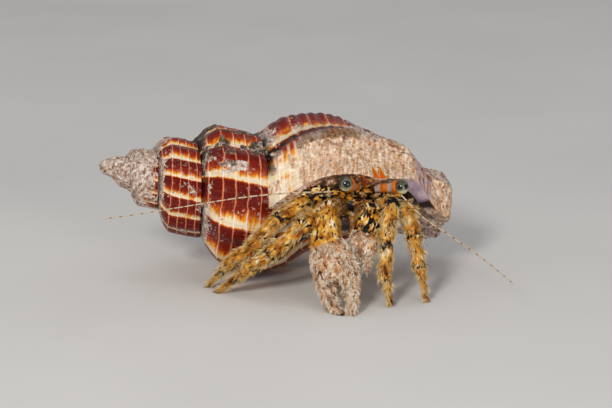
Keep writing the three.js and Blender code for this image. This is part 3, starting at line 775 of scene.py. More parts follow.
def horn_points(start, end, inset, floor, reach=1.0, steps=70, side=40):
    """A horn that follows the last whorl inside it, as a grid of rings."""
    turns = np.linspace(start, end, steps + 1)[:, None]
    at_lip = np.minimum(turns, 0)
    size = size_at(at_lip)
    w_to = (SHELL_LENGTH + CENTRE_LEAD + np.where(turns > -0.06, 1.0, -0.2)) / size
    w = mix(1.1, mix(1.1, w_to, reach), np.linspace(0, 1, side)[None, :])
    below = whorl_radius(at_lip - 1, w * GROWTH) - floor
    above = np.maximum(whorl_radius(at_lip, w) - inset, below + 0.1) + 7 * np.maximum(turns, 0)
    w = np.concatenate([w, w[:, ::-1]], axis=1)
    radius = np.concatenate([above, below[:, ::-1]], axis=1)
    x = size * w
    shrink = mix(1, 0.5, np.linspace(0, 1, steps + 1)[:, None])
    radius = mix(radius.mean(1, keepdims=True), radius, shrink)
    x = mix(x.mean(1, keepdims=True), x, shrink) - CENTRE_LEAD
    return shell_axes(x, radius, shell_angle(turns, w))


def make_shell():
    points, faces, values = shell_surface()
    outside = shell_material()
    shell = make_piece("shell_whole", points, faces, outside, values=values, rides=False)
    shell.data.materials.append(rim_material())
    rims = np.repeat(np.isin(np.arange(len(faces)), (2, len(faces) - 1)), [len(group) for group in faces])
    shell.data.polygons.foreach_set("material_index", rims.astype(np.int32))
    grid = horn_points(0.22, -0.42, WALL, FLOOR_CUT)
    rings = ring_faces(*grid.shape[:2])
    cutter = make_piece("mouth_cutter", grid.reshape(-1, 3), rings, outside, rides=False)
    cut = shell.modifiers.new("mouth", "BOOLEAN")
    cut.operation = "DIFFERENCE"
    cut.solver = "EXACT"
    cut.object = cutter
    result = applied(shell)

    # Each point takes the values of the nearest one before the cut.
    old = KDTree(len(points))
    for i, v in enumerate(shell.data.vertices):
        old.insert(v.co, i)
    old.balance()
    found = [old.find(v.co)[1:] for v in result.vertices]
    nearest = np.array([f[0] for f in found])
    inside = np.array([f[1] for f in found]) > 1e-7
    for key in values:
        result.attributes.remove(result.attributes[key])
    kept = {key: data[nearest] for key, data in values.items()}
    turned = kept["spiral"][:, 0] / ROUND
    along = kept["spiral"][:, 1] - CENTRE_LEAD
    kept["inside"] = inside * (turned < -0.012) * (1 - smooth(19.8, 21, along))
    # The cut's far end is as crusted as the outside, and so is the canal.
    crusted = np.maximum(inside, smooth(20.6, 21.2, along)) * (turned < -0.3)
    kept["crust"] = np.maximum(kept["crust"], crusted)
    # Painted shade inside the mouth: at least three quarters strong, full from just behind the lip's edge,
    # and fading out between 18.4 and 19.4 mm along, towards the canal.
    behind = np.mod(-turned, 1.0)
    shade = np.maximum(0.75, smooth(0.0, 0.04, np.where(behind > 0.6, 0, behind)))
    kept["deep"] = inside * shade * smooth(19.4, 18.4, along)
    set_values(result, kept)
    result.set_sharp_from_angle(angle=math.radians(50))
    shell.modifiers.clear()
    shell.data = result
    shell.name = "whelk_shell"
    bpy.data.objects.remove(cutter)
    finish_piece(shell, ["shell"])

    # The first chamber: a small crusted ball at the very tip.
    rows, sides = 48, 64
    ball = ball_points(rows, sides, 0.03)
    place = shell_axes(np.array([0.42]), np.zeros(1), np.zeros(1)) + ball * NUCLEUS_RADIUS
    place += ball * (0.1 * (noise(place, 0.34, 33, 2) - 0.5))[..., None]
    points = place.reshape(-1, 3)
    values = {"crust": np.ones(len(points)), "spiral": points}
    make_piece("whelk_tip", points, ring_faces(rows, sides, flip=True), outside, values=values)


# ---- Bars, spines and bristles -------------------------------------------------------------


def surface_values(place, lay, band, hand=0.0, membrane=0.0):
    """What the limb's colours read at each point: its place, the way along and round, and its bands."""
    flat = np.zeros(len(place))
    return {"root": place, "lay": lay, "band": band + flat, "hand": hand + flat, "membrane": membrane + flat}


class Mix:
    """Gathers shells of points, faces and values into one mesh."""

    def __init__(self):
        self.points, self.faces, self.values, self.count = [], [], {}, 0

    def add(self, points, faces, **values):
        points = np.asarray(points, float).reshape(-1, 3)
        self.points.append(points)
        self.faces += [np.asarray(f) + self.count for f in faces]
        self.count += len(points)
        for key, data in values.items():
            self.values.setdefault(key, []).append(data)

    def make(self, name, material, slot, replaces=None):
        values = {key: np.concatenate(data) for key, data in self.values.items()}
        sizes = sorted({f.shape[1] for f in self.faces})
        faces = [np.concatenate([f for f in self.faces if f.shape[1] == s]) for s in sizes]
        make_piece(name, np.concatenate(self.points), faces, material, replaces or [name], values)


class Bar:
    """A rounded, arched bar: a segment of a limb, with `form` for its width along t and round it."""

    def __init__(self, start, end, sizes, arch, outward, form):
        start, end = np.array(start, float), np.array(end, float)
        self.along = unit(end - start)
        self.across = unit(np.cross(self.along, outward))
        self.upper = np.cross(self.across, self.along)
        self.start, self.length = start, np.linalg.norm(end - start)
        self.sizes, self.arch, self.form = np.array(sizes, float), arch, form

    def place(self, t, angle):
        """Where the surface is at t along and an angle round, 0 across and a quarter turn upward."""
        t, angle = np.broadcast_arrays(np.asarray(t, float), np.asarray(angle, float))
        far = t[..., None]
        share = self.form(t, angle)
        wide, deep = np.moveaxis(mix(self.sizes[0], self.sizes[1], far) / 2 * share[..., None], -1, 0)
        side = (np.cos(angle) * wide)[..., None] * self.across
        side = side + (np.sin(angle) * deep)[..., None] * self.upper
        base = self.start + self.along * self.length * far + side
        base = base + self.upper * 4 * self.arch * far * (1 - far)
        lumps = noise(base, 0.32, 41, 2) - 0.5 + 0.5 * (noise(base, 0.12, 47) - 0.5)
        return base + unit(side) * (0.07 * lumps * smooth(0, 0.3, share))[..., None]

    def normal(self, t, angle):
        onward, back = np.minimum(t + 0.01, 0.995), np.maximum(t - 0.01, 0.005)
        t_step = self.place(onward, angle) - self.place(back, angle)
        a_step = self.place(t, angle + 0.05) - self.place(t, angle - 0.05)
        return unit(np.cross(t_step, a_step))

    def skin(self, rows, sides):
        """Points all round the bar, closer together at its ends, with their t and angle."""
        t = 0.5 - 0.5 * np.cos(np.pi * np.linspace(0.02, 0.98, rows))
        t = np.clip((t - t[0]) / (t[-1] - t[0]), 0.002, 0.998)
        t, angle = [a.ravel() for a in np.meshgrid(t, round_angles(sides), indexing="ij")]
        return self.place(t, angle), t, angle

    def values(self, t, angle, place, band, hand):
        lay = np.stack([t * self.length, angle * self.sizes.mean() / 2, 0 * t], -1)
        return surface_values(place, lay, band, hand)


def rounded(t, near, far):
    """The round ends of a bar, as shares of its length: 0 at both ends of t, and 1 between."""
    ends = np.clip(np.minimum(t / near, (1 - t) / far), 0, 1)
    return np.sqrt(ends * (2 - ends))


def leg_form(t, angle):
    """Narrow at the joint behind, full along the middle, with a raised rim at the far end."""
    return rounded(t, 0.06, 0.05) * (mix(0.66, 0.9, smooth(0.0, 0.3, t)) + 0.09 * hill(t, 0.9, 0.05))


def claw_form(t, angle):
    ridge = 0.05 * np.abs(np.sin(2 * angle)) * smooth(0.1, 0.4, t)
    return rounded(t, 0.1, 0.1) * (mix(0.7, 0.9, smooth(0, 0.35, t)) + ridge)


def dactyl_form(t, angle):
    """Tapers, slowly and then fast, to a hard pointed nail."""
    return rounded(t, 0.08, 0.04) * mix(0.86, 0.3, smooth(0.1, 1.0, t) ** 0.8)


def finger_form(t, angle):
    """Stout and slightly flattened, with blunt teeth along the side that closes."""
    teeth = 0.09 * np.cos(TURN * 5 * t) * np.clip(-np.sin(angle), 0, 1) ** 3
    return rounded(t, 0.1, 0.1) * (mix(0.95, 0.5, t**1.4) + teeth)


def stalk_form(t, angle):
    """A slim stalk that widens to a cup under the cornea."""
    return rounded(t, 0.08, 0.3) * (mix(0.92, 1.0, smooth(0.5, 0.8, t)) + 0.3 * hill(t, 0.8, 0.1))


def add_bar(gather, bar, band, hand, rows=44, sides=36):
    place, t, angle = bar.skin(rows, sides)
    gather.add(place, ring_faces(rows, sides, flip=True), **bar.values(t, angle, place, band(t), hand))


def add_joint(gather, centre, radius):
    """Dark bare skin seen in the gap at a joint."""
    rows, sides = 9, 14
    grid = (centre + radius * ball_points(rows, sides, 0.05)).reshape(-1, 3)
    gather.add(grid, ring_faces(rows, sides, flip=True), **surface_values(grid, 0 * grid, 0.2, membrane=1.0))


def add_spines(gather, bar, t, angle, lean, length, width, band, hand):
    """Short hard thorns, each a six-sided cone that leans the way the limb points."""
    root, normal = bar.place(t, angle), bar.normal(t, angle)
    count, sides = len(root), 6
    tip_way = unit(normal + lean * bar.along)
    side = unit(np.cross(tip_way, normal + 0.01 * rng.normal(size=normal.shape)))
    ring = ring_round(side, np.cross(tip_way, side), sides)
    far, width = length[:, None, None], width[:, None, None]
    low = (root - 0.04 * normal)[:, None] + ring * width
    mid = root[:, None] + tip_way[:, None] * 0.5 * far + ring * 0.62 * width
    top = root[:, None] + tip_way[:, None] * far
    points = np.concatenate([low, mid, top], 1)
    per = 2 * sides + 1
    j = np.arange(sides)
    k = (j + 1) % sides
    quads = np.stack([j, k, sides + k, sides + j], -1)
    tris = np.stack([sides + j, sides + k, np.full(sides, 2 * sides)], -1)
    values = bar.values(t, angle, root, band, hand)
    values = {key: np.repeat(data, per, axis=0) for key, data in values.items()}
    gather.add(points, repeated((quads, tris), count, per), **values)


class Coat:
    """Bristles gathered from many places. Each one is a curved three-sided spike with a closed root."""

    def __init__(self):
        self.parts = []

    def add(self, **part):
        """`rise` is how far a bristle stands off the skin; `patch` is its root's place on the unwrap."""
        self.parts.append(part)

    def make(self, name):
        data = {key: np.concatenate([part[key] for part in self.parts]) for key in self.parts[0]}
        count = len(data["at"])
        length = data["length"][:, None]
        away = unit(data["normal"] * data["rise"][:, None] + data["way"])
        bend = unit(data["way"] - 0.12 * data["normal"] + 0.16 * rng.normal(size=away.shape))
        side = unit(np.cross(away, bend) + 0.05 * rng.normal(size=away.shape))
        up = np.cross(side, away)
        rings = []
        for s, thick in ((-0.06, 1.0), (0.36, 0.85), (0.72, 0.55)):
            middle = data["at"] + length * (away * s + (bend - away) * 0.45 * s * abs(s))
            for turn in round_angles(3):
                arm = side * math.cos(turn) + up * math.sin(turn)
                rings.append(middle + arm * (data["width"] * thick)[:, None] / 2)
        rings.append(data["at"] + length * (away + (bend - away) * 0.45))
        per = len(rings)
        pairs = [(0, 1), (1, 2), (2, 0)]
        quads = [[r + j, r + 3 + j, r + 3 + k, r + k] for r in (0, 3) for j, k in pairs]
        tris = [[6 + j, 9, 6 + k] for j, k in pairs] + [[0, 1, 2]]
        faces = repeated((quads, tris), count, per)
        shown = ("root", "lay", "band", "hand", "shade")
        values = {key: np.repeat(data[key], per, axis=0) for key in shown}
        values["along"] = np.tile(np.repeat([0.0, 0.36, 0.72, 1.0], [3, 3, 3, 1]), count)
        piece = make_piece(name, np.stack(rings, 1).reshape(-1, 3), faces, BRISTLE, values=values)
        # Each bristle is a small patch of the unwrap at its root's place.
        spread = np.concatenate([rng.uniform(-1, 1, (9, 2)), [[0, 0]]])
        patch = np.repeat(data["patch"], per, axis=0) + np.tile(spread, (count, 1)) * 0.0015
        corners = np.empty(len(piece.data.loops), np.int32)
        piece.data.loops.foreach_get("vertex_index", corners)
        uv = piece.data.uv_layers.new(name="OFBake")
        uv.data.foreach_set("uv", np.clip(patch, 0, 1)[corners].astype(np.float32).ravel())


def bristle(coat, bar, count, tufts, length, width, rise, shade, strip, band, hand,
            sides=(0.0, TURN), spread=0.07, pull=0.5, vary=0.16):
    """Covers a bar with tufts of bristles that lean towards its far end and draw together."""
    near = (0.03, 0.97)
    middle_t = rng.uniform(*near, tufts)
    middle_a = rng.uniform(*sides, tufts)
    which = rng.integers(0, tufts, count)
    t = np.clip(middle_t[which] + spread * rng.normal(size=count) / bar.length, *near)
    angle = middle_a[which] + spread * rng.normal(size=count) / (bar.sizes.mean() / 2)
    place = bar.place(t, angle)
    drawn = (bar.place(middle_t, middle_a)[which] - place) / length
    tuft_way = 0.35 * rng.normal(size=(tufts, 3))[which]
    way = unit(bar.along + tuft_way * 0.6 + pull * drawn + 0.12 * rng.normal(size=place.shape))
    tuft_long = rng.uniform(0.7, 1.15, tufts)[which]
    tuft_shade = rng.uniform(-vary, vary, tufts)[which]
    coat.add(
        length=length * tuft_long * rng.uniform(0.6, 1.15, count),
        shade=np.clip(shade + tuft_shade + rng.uniform(-0.12, 0.12, count), 0, 1),
        width=width * rng.uniform(0.75, 1.2, count), rise=rise * rng.uniform(0.6, 1.4, count),
        at=place, normal=bar.normal(t, angle), way=way,
        patch=np.stack([(strip + 0.02 + 0.96 * t) / STRIPS, (angle / TURN) % 1], -1),
        **bar.values(t, angle, place, band(t), hand),
    )


# ---- Legs and claws ------------------------------------------------------------------------


def limb_bar(joints, index, start_size, end_size, arch, form, lap=0.3):
    start, end = joints[index], joints[index + 1]
    way = unit(end - start)
    start = start - way * (0.3 * start_size[1] if index else 0)
    outward = unit(joints[1] + joints[2] - joints[0] - joints[-1])
    return Bar(start, end + way * lap * end_size[1], (start_size, end_size), arch, outward, form)


def flat_band(level):
    return lambda t: level + 0 * t


def nail_band(t):
    return 0.5 * smooth(0.86, 0.95, t)


def make_leg(name, coat):
    joints = np.array(LEG_JOINTS[name], float)
    gather = Mix()
    for index, (segment, start_size, end_size, arch) in enumerate(LEG_SEGMENTS):
        last = segment == "dactyl"
        form, lap = (dactyl_form, 0) if last else (leg_form, 0.3)
        bar = limb_bar(joints, index, start_size, end_size, arch, form, lap)

        def band(t, index=index, last=last):
            nail = 0.45 * smooth(0.84, 0.94, t) if last else 0 * t
            return nail + sum(strength * hill(index + t, at, 0.09) for at, strength in LEG_BANDS[name])

        add_bar(gather, bar, band, 0.0)
        if index:
            add_joint(gather, joints[index], 0.33 * start_size[1])
        # A row of thorns along the upper edge, and one pair at the far rim.
        if segment in ("carpus", "propodus"):
            t = np.concatenate([np.linspace(0.3, 0.88, 6), [0.92, 0.92]])
            angle = np.concatenate([np.full(6, TURN / 4), [TURN * 0.19, TURN * 0.31]])
            angle = angle + 0.1 * rng.normal(size=len(t))
            long = rng.uniform(0.14, 0.22, len(t))
            add_spines(gather, bar, t, angle, 1.1, long, np.full(len(t), 0.05), band(t) * 0.4, 0.0)
        reach = mix(0.46, 0.32, index / 3)
        strip = next(strips)
        for count, tufts, long, width, rise, shade, vary, low_side, high_side in LEG_COAT:
            edges = dict(sides=(TURN * low_side, TURN * high_side), vary=vary)
            bristle(coat, bar, count, tufts, reach * long, width, rise, shade, strip, band, 0.0, **edges)
    gather.make(name, LIMB, "leg", [f"{name}_{segment[0]}" for segment in LEG_SEGMENTS])


def make_claw(side, arm_coat, hand_coat):
    joints = np.array(CLAW_JOINTS[side], float)
    big = side == "right"
    gather = Mix()
    bars = {}
    for index, (segment, start_size, end_size, arch) in enumerate(CLAW_SEGMENTS[side]):
        bars[segment] = limb_bar(joints, index, start_size, end_size, arch, claw_form)
        if index:
            add_joint(gather, joints[index], 0.36 * start_size[1])
    tip, root, end, root_spread, tip_spread, bow = FINGERS[side]
    inner = 1 if big else -1
    for name, hand_side in (("finger", inner), ("thumb", -inner)):
        apart = bars["palm"].across * hand_side
        start = joints[3] + apart * root_spread / 2
        finish = np.array(tip) + apart * tip_spread / 2
        start = start - unit(finish - start) * 0.3 * root[1]
        bars[name] = Bar(start, finish, (root, end), bow, apart, finger_form)
    amount = 1.0 if big else 0.4
    looks = {
        "merus": (0.4, flat_band(0.36)),
        "carpus": (0.0, flat_band(0.12 if big else 0.4)),
        "palm": (1.0, flat_band(0)),
    }
    for segment, bar in bars.items():
        hand, band = looks.get(segment, (1.0, nail_band))
        add_bar(gather, bar, band, hand, 56, 52)
        common = dict(strip=next(strips), band=band, hand=hand)
        if segment in ("carpus", "palm"):
            # Thorns stand in rows along the back of the carpus and the palm.
            rows = np.linspace(0.12, 0.38, 4 if big else 3) * TURN
            t = np.tile(np.linspace(0.25, 0.86, 6 if big else 4), len(rows))
            angle = np.repeat(rows, len(t) // len(rows)) + 0.05 * rng.normal(size=len(t))
            long = rng.uniform(0.14, 0.24, len(t)) * (1 if big else 0.7)
            add_spines(gather, bar, t, angle, 0.8, long, 0.3 * long, band(t), hand)
        if hand == 1.0:
            # The hand's tufts vary widely in tone: partly their own colour, partly painted shade on the
            # darkest and painted highlights on the palest.
            dense = dict(spread=0.1, pull=1.7, vary=0.5, **common)
            for count, tufts, *look in ((3000, 300, 0.32, 0.05, 1.4, 0.8), (800, 90, 0.52, 0.045, 1.5, 0.85)):
                bristle(hand_coat, bar, int(count * amount), int(tufts * amount), *look, **dense)
        else:
            count, tufts, fringe = int(1300 * amount), int(130 * amount), int(260 * amount)
            bristle(arm_coat, bar, count, tufts, 0.34, 0.024, 0.5, 0.62, **common)
            for edge in ((-TURN * 0.06, TURN * 0.06), (TURN * 0.44, TURN * 0.56)):
                bristle(arm_coat, bar, fringe, 30, 0.6, 0.028, 1.0, 0.42, sides=edge, **common)
    nodes = [f"claw_{side}_{name}" for name in ("merus", "carpus", "palm", "finger")]
    gather.make(f"claw_{side}", LIMB, "claw", nodes)


# ---- Eyes, feelers and mouthparts ----------------------------------------------------------


def make_eye(side):
    """The clear cornea: grey-green, cream below, with dark round spots that face out."""
    stalk, centre = [np.array(p) for p in EYES[side]]
    rows, sides = 96, 128
    points = (centre + CORNEA_RADIUS * ball_points(rows, sides, 0.01)).reshape(-1, 3)
    out = unit(points - centre)
    paint = paint_over(np.array(colour("#4c4e38")), "#dcd8a4", smooth(0.2, -0.6, out[:, 2]))
    # Painted shade: the cornea's upper left side turns near black.
    paint = paint_over(paint, "#1d180f", 0.8 * smooth(0.15, 0.85, out @ unit((-0.8, -0.5, 0.6))))
    paint = paint_over(paint, "#56503c", 0.5 * smooth(0.5, 0.72, noise(points, 0.05, 61, 2)))
    for way, size in EYE_SPOTS[side]:
        off = np.degrees(np.arccos(np.clip((out * unit(way)).sum(-1), -1, 1)))
        for start, end, code in EYE_RINGS:
            start, end = start * size, end * size
            ring = smooth(start - 1.5, start + 1.5, off) * smooth(end + 1.5, end - 1.5, off)
            paint = paint_over(paint, code, 0.7 * ring * (1 if size == 1.0 else 0.5))
        paint = paint_over(paint, "#030303", 1 - smooth(25 * size, 29 * size, off))
    paint = paint_over(paint, "#3a2c1c", smooth(0.45, 0.6, (out * unit(stalk - centre)).sum(-1)))
    name = f"cornea_{side}"
    make_piece(name, points, ring_faces(rows, sides, flip=True), EYE, [name], {"paint": paint})


def make_stalk(side):
    """The eyestalk, ringed with orange and grey-lilac."""
    rows, sides = 70, 48
    bar = Bar(*EYES[side], ((0.6, 0.58), (0.76, 0.74)), 0, (0, 0, 1), stalk_form)
    place, t, angle = bar.skin(rows, sides)
    edge = t + 0.05 * (noise(place, 0.25, 71, 2) - 0.5)
    lilac = sum(smooth(a, a + 0.04, edge) - smooth(b, b + 0.04, edge) for a, b in ((0.04, 0.25), (0.51, 0.7)))
    paint = paint_over(np.array(colour("#c86200")), "#a3958a", np.clip(lilac, 0, 1))
    paint = paint_over(paint, "#e6cf9c", smooth(0.88, 0.93, edge))
    paint = paint_over(paint, "#5a2410", 0.7 * smooth(0.62, 0.75, noise(place, 0.2, 73, 2)))
    name = f"eyestalk_{side}"
    make_piece(name, place, ring_faces(rows, sides, flip=True), STALK, [name], {"paint": paint})


def curve_through(points, count):
    """Evenly spread places on a smooth curve through some points, and how far along each one is."""
    points = np.array(points, float)
    padded = np.concatenate([[2 * points[0] - points[1]], points, [2 * points[-1] - points[-2]]])
    t = np.linspace(0, 1, 60, endpoint=False)[:, None]
    out = []
    for i in range(len(points) - 1):
        p0, p1, p2, p3 = padded[i:i + 4]
        square = (2 * p0 - 5 * p1 + 4 * p2 - p3) * t**2
        out.append(0.5 * (2 * p1 + (p2 - p0) * t + square + (3 * p1 - p0 - 3 * p2 + p3) * t**3))
    out = np.concatenate([*out, [points[-1]]])
    far = np.concatenate([[0], np.cumsum(np.linalg.norm(np.diff(out, axis=0), axis=1))])
    even = np.linspace(0, far[-1], count)
    return np.stack([np.interp(even, far, out[:, i]) for i in range(3)], -1), even


def add_thread(gather, points, count, radii, joint, codes):
    """A tapering thread of short joints, with colours that change from joint to joint."""
    sides = 10
    path, far = curve_through(points, count)
    way = unit(np.gradient(path, axis=0))
    side = unit(np.cross(way, (0, 0, 1)))
    thick = mix(*radii, far / far[-1]) * (1 + 0.16 * np.abs(np.cos(np.pi * far / joint)) ** 3)
    thick[[0, -1]] *= 0.3
    points = path[:, None] + ring_round(side, np.cross(side, way), sides) * thick[:, None, None]
    tints = np.array([colour(c) for c in codes])
    paint = tints[np.where(np.floor(far / joint).astype(int) % 4 == 3, 1, 0)]
    paint = mix(paint, tints[2], (0.5 + 0.5 * np.cos(TURN * far / joint))[:, None] ** 8)
    gather.add(points, ring_faces(len(path), sides, flip=True), paint=np.repeat(paint, sides, axis=0))


def make_feeler(side):
    start, knee = [np.array(p) for p in FEELERS[side][:2]]
    gather = Mix()
    add_thread(gather, FEELERS[side][1:], 620, (0.05, 0.028), 0.17, ("#cdbb9c", "#8a5a36", "#a4835c"))
    gather.make(f"antenna_{side}", FEELER, "feeler")

    gather = Mix()
    for low_share, high_share, wide in ((0, 0.42, 0.52), (0.36, 0.74, 0.42), (0.7, 1.0, 0.3)):
        sizes = ((wide, wide), (wide * 0.92, wide * 0.92))
        bar = Bar(mix(start, knee, low_share), mix(start, knee, high_share), sizes, 0, (0, 0, 1), leg_form)
        add_bar(gather, bar, lambda t: 0.25 + 0.3 * smooth(0.8, 1, t), 0.0, 24, 20)
    # The scale beside the feeler's base, a slim spine.
    tip = mix(start, knee, 0.75) + (0.22 if side == "left" else -0.22, 0.1, 0.2)
    scale = Bar(start, tip, ((0.24, 0.2), (0.1, 0.1)), 0.03, (0, 0, 1), dactyl_form)
    add_bar(gather, scale, flat_band(0.3), 0.0, 20, 14)
    gather.make(f"antenna_base_{side}", LIMB, "feeler")


def make_antennule(side):
    start, end = [np.array(p) for p in ANTENNULES[side]]
    knee = mix(start, end, 0.6)
    gather = Mix()
    stem = [start, mix(start, end, 0.3), knee]
    add_thread(gather, stem, 120, (0.12, 0.12), 0.3, ("#b98a4a", "#6a4424", "#5a3418"))
    for spread in (-0.07, 0.1):
        tip = end + np.array([spread, 0, spread * 0.6])
        branch = [knee, mix(knee, tip, 0.5), tip]
        add_thread(gather, branch, 160, (0.075, 0.03), 0.06, ("#d8c49a", "#8a5a2c", "#7a5230"))
    gather.make(f"antennule_{side}", FEELER, "feeler")


def make_mouthpart(side, coat):
    joints = np.array(MAXILLIPEDS[side], float)
    gather = Mix()
    # Which length of the limb, from where to where along it, and how wide.
    for index, low_share, high_share, wide in (
        (0, 0.0, 0.55, 0.52), (0, 0.5, 1.05, 0.46),
        (1, -0.1, 0.4, 0.44), (1, 0.34, 0.74, 0.38), (1, 0.7, 1.08, 0.3),
    ):
        start, end = [mix(joints[index], joints[index + 1], share) for share in (low_share, high_share)]
        bar = Bar(start, end, ((wide, wide), (wide * 0.9, wide * 0.9)), 0, (0, -1, 0), leg_form)
        add_bar(gather, bar, flat_band(0.12), 0.3, 28, 22)
        bristle(coat, bar, 190, 26, 0.3, 0.02, 0.8, 0.45, next(strips), flat_band(0.12), 0.3)
    gather.make(f"maxilliped_{side}", LIMB, "mouthpart")


# ---- Shield and body -----------------------------------------------------------------------


def shield_place(across, back):
    """The plate over the head: from -1 to 1 across it, and from -1 at its front to 1 behind."""
    centre, size = np.array(SHIELD[0]), np.array(SHIELD[1]) / 2
    polar = 0.98 * np.hypot(across, back)
    reach = 0.96 + 0.14 * hill(across, 0, 0.12) * smooth(0.4, -1, back)
    dome = np.sqrt(np.clip(1 - (polar * 0.97) ** 2, 0, 1))
    furrow = 0.1 * hill(np.abs(across) - 0.35, 0.2 * back, 0.07) * smooth(1.0, 0.6, polar)
    return centre + size * np.stack([across * reach, back * reach, 0.95 * dome - furrow], -1)


def shield_lay(place):
    return place[..., :2] @ np.array([[1.6, 0, 0], [0, 0.7, 0]])


def make_shield(coat):
    rows, sides = 60, 160
    share = np.linspace(0.01, 1, rows)[:, None]
    angle = round_angles(sides)[None, :]
    top = shield_place(share * np.cos(angle), share * np.sin(angle))
    top[..., 2] += 0.06 * (noise(top, 0.3, 83, 2) - 0.5)
    grid = np.concatenate([top, top[::-1] - (0, 0, 0.12)]).reshape(-1, 3)
    faces = ring_faces(2 * rows, sides, flip=True)
    values = surface_values(grid, shield_lay(grid), 0.4)
    make_piece("shield", grid, faces, LIMB, ["shield"], values)

    count = 1300
    r = np.sqrt(rng.uniform(0.05, 1, count))
    a = rng.uniform(0, TURN, count)
    across, back = r * np.cos(a), r * np.sin(a)
    place = shield_place(across, back)
    # The hair is longest, darkest and most upright over the right half of the front edge.
    tall = smooth(0.1, -0.5, across) * smooth(0.2, -0.3, back)
    coat.add(
        way=unit(np.stack([0.3 * rng.normal(size=count), -1 + 0 * r, 0.1 * rng.normal(size=count)], -1)),
        length=rng.uniform(0.14, 0.34, count) * (1 + tall), rise=rng.uniform(0.3, 0.9, count) + 1.2 * tall,
        shade=rng.uniform(0.05, 0.6, count) * (1 - 0.6 * tall), width=np.full(count, 0.024),
        at=place, normal=unit(np.stack([across * 0.5, back * 0.5, 1 + 0 * r], -1)),
        patch=np.stack([(next(strips) + 0.5 + 0.4 * across) / STRIPS, 0.5 + 0.48 * back], -1),
        **surface_values(place, shield_lay(place), 0.4),
    )


def make_body(coat):
    """One soft skin over the thorax and the abdomen coiled inside the shell."""
    rows, sides = 60, 96
    horn = horn_points(-0.03, -0.36, WALL + 0.16, FLOOR_CUT - 0.16, 0.62, 60, 30)
    gather = Mix()
    for centre, size in THORAX:
        ball = ball_points(rows, sides, 0.03) * np.array(size) / 2 * 0.97
        gather.add(np.array(centre) + ball, ring_faces(rows, sides, flip=True))
    gather.add(horn, ring_faces(*horn.shape[:2]))
    body = bpy.data.meshes.new("body")
    faces = [row for f in gather.faces for row in f.tolist()]
    body.from_pydata(np.concatenate(gather.points).tolist(), [], faces)
    holder = bpy.data.objects.new("body", body)
    bpy.context.scene.collection.objects.link(holder)
    remesh = holder.modifiers.new("one_skin", "REMESH")
    remesh.mode = "VOXEL"
    remesh.voxel_size = 0.11
    holder.modifiers.new("ease", "SMOOTH").iterations = 6
    result = applied(holder)
    bpy.data.objects.remove(holder)
    skin = np.array([v.co for v in result.vertices])
    normal = np.array([v.normal for v in result.vertices])
    skin = skin + normal * (0.09 * (noise(skin, 0.5, 91, 3) - 0.55))[:, None]
    quads = np.array([list(p.vertices) for p in result.polygons if len(p.vertices) == 4])
    inside = smooth(-1.2, 0.8, skin[:, 1])
    lay = np.stack([skin[:, 0], skin[:, 2] * 0.6, 0 * inside], -1)
    values = surface_values(skin, lay, mix(0.5, 0.05, inside), inside)
    make_piece("body", skin, [quads], LIMB, ["thorax", "abdomen"], values)

    count = 2600
    pick = rng.choice(np.flatnonzero(skin[:, 1] < -2.3), count)
    place = skin[pick] + 0.04 * rng.normal(size=(count, 3))
    across = unit(skin[pick] - np.array(THORAX[0][0]))
    round_share = 0.5 + 0.45 * np.arctan2(across[:, 2], across[:, 0]) / math.pi
    coat.add(
        way=unit(np.array([0.0, -0.8, -0.35]) + 0.35 * rng.normal(size=(count, 3))),
        length=rng.uniform(0.16, 0.42, count), rise=rng.uniform(0.4, 1.0, count),
        shade=rng.uniform(0.0, 0.75, count) ** 1.4, width=np.full(count, 0.022),
        at=place, normal=normal[pick],
        patch=np.stack([(next(strips) + round_share) / STRIPS, 0.5 + 0.45 * across[:, 1]], -1),
        **surface_values(place, lay[pick], 0.5),
    )


def make_crab():
    coats = {name: Coat() for name in ("legs", "arm_right", "hand_right", "claw_left", "face")}
    for name in LEG_JOINTS:
        make_leg(name, coats["legs"])
    make_claw("right", coats["arm_right"], coats["hand_right"])
    make_claw("left", coats["claw_left"], coats["claw_left"])
    for side in EYES:
        make_eye(side)
        make_stalk(side)
        make_feeler(side)
        make_antennule(side)
        make_mouthpart(side, coats["face"])
    make_shield(coats["face"])
    make_body(coats["face"])
    for name, coat in coats.items():
        coat.make(f"bristles_{name}")


# ---- Floor, lights and camera --------------------------------------------------------------

VIEW_DISTANCE = 180.0
VIEW_ELEVATION = math.radians(15)
VIEW_CENTRE = (0.0, 0.0, 4.395)
MM_PER_PIXEL = 0.065
IMAGE_WIDTH = 612
SENSOR = 36.0
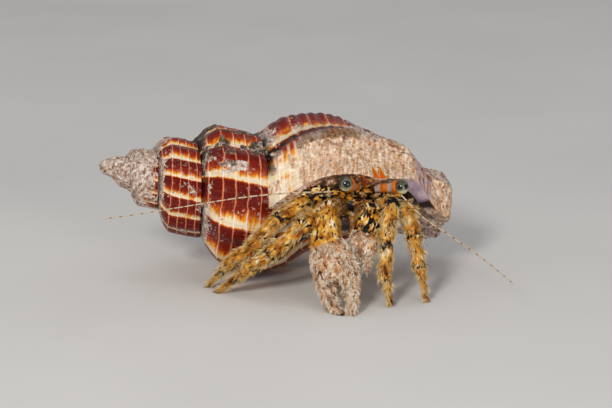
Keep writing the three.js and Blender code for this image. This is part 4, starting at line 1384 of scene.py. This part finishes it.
# Each light's place and width in mm, its power in watts, and its tint.
LIGHTS = {
    "key": ((-60, -180, 120), 45, 0.26, (1, 0.97, 0.93)),
    "fill": ((110, -170, 40), 70, 0.085, (1, 0.98, 0.96)),
    "top": ((-20, 30, 220), 120, 0.035, (1, 1, 1)),
    "back": ((30, 160, 140), 70, 0.008, (1, 1, 1)),
}
WORLD_COLOUR, WORLD_STRENGTH = (0.95, 0.96, 1.0, 1), 0.36


def make_floor():
    bpy.ops.mesh.primitive_plane_add(size=3.0, location=(0, 0, 0))
    floor = bpy.context.object
    floor.name = "floor"
    n = Shader("floor", Specular_IOR_Level=0.2)
    base = n.ramp(n.noise(n.millimetres(), 0.05, 2), [(0.3, "#dcdad6"), (0.7, "#e2e0dc")])
    floor.data.materials.append(n.finish(base, 0.8))


def aimed(name, data, place, way):
    """A light or camera at a place, turned to look along a way."""
    holder = bpy.data.objects.new(name, data)
    holder.location = place
    holder.rotation_euler = way.to_track_quat("-Z", "Y").to_euler()
    bpy.context.scene.collection.objects.link(holder)
    return holder


def make_view():
    scene = bpy.context.scene
    scene.view_settings.view_transform = "Standard"
    scene.world = bpy.data.worlds.new("soft_light")
    scene.world.use_nodes = True
    sky = scene.world.node_tree.nodes["Background"]
    sky.inputs["Color"].default_value = WORLD_COLOUR
    sky.inputs["Strength"].default_value = WORLD_STRENGTH
    for name, (place, size, watts, tint) in LIGHTS.items():
        light = bpy.data.lights.new(name, "AREA")
        light.shape = "DISK"
        light.size = size * MM
        light.energy = watts
        light.color = tint
        place = Vector(place) * MM
        aimed(name, light, place, Vector((0, 0, 5 * MM)) - place)

    camera = bpy.data.cameras.new("camera")
    camera.sensor_width = SENSOR
    camera.lens = SENSOR * VIEW_DISTANCE / (MM_PER_PIXEL * IMAGE_WIDTH)
    camera.clip_start = 10 * MM
    camera.clip_end = 10
    away = Vector((0, -math.cos(VIEW_ELEVATION), math.sin(VIEW_ELEVATION)))
    place = Vector(np.array(VIEW_CENTRE) + ORIGIN) + away * VIEW_DISTANCE
    scene.camera = aimed("camera", camera, place * MM, -away)


make_floor()
make_view()
make_shell()
make_crab()
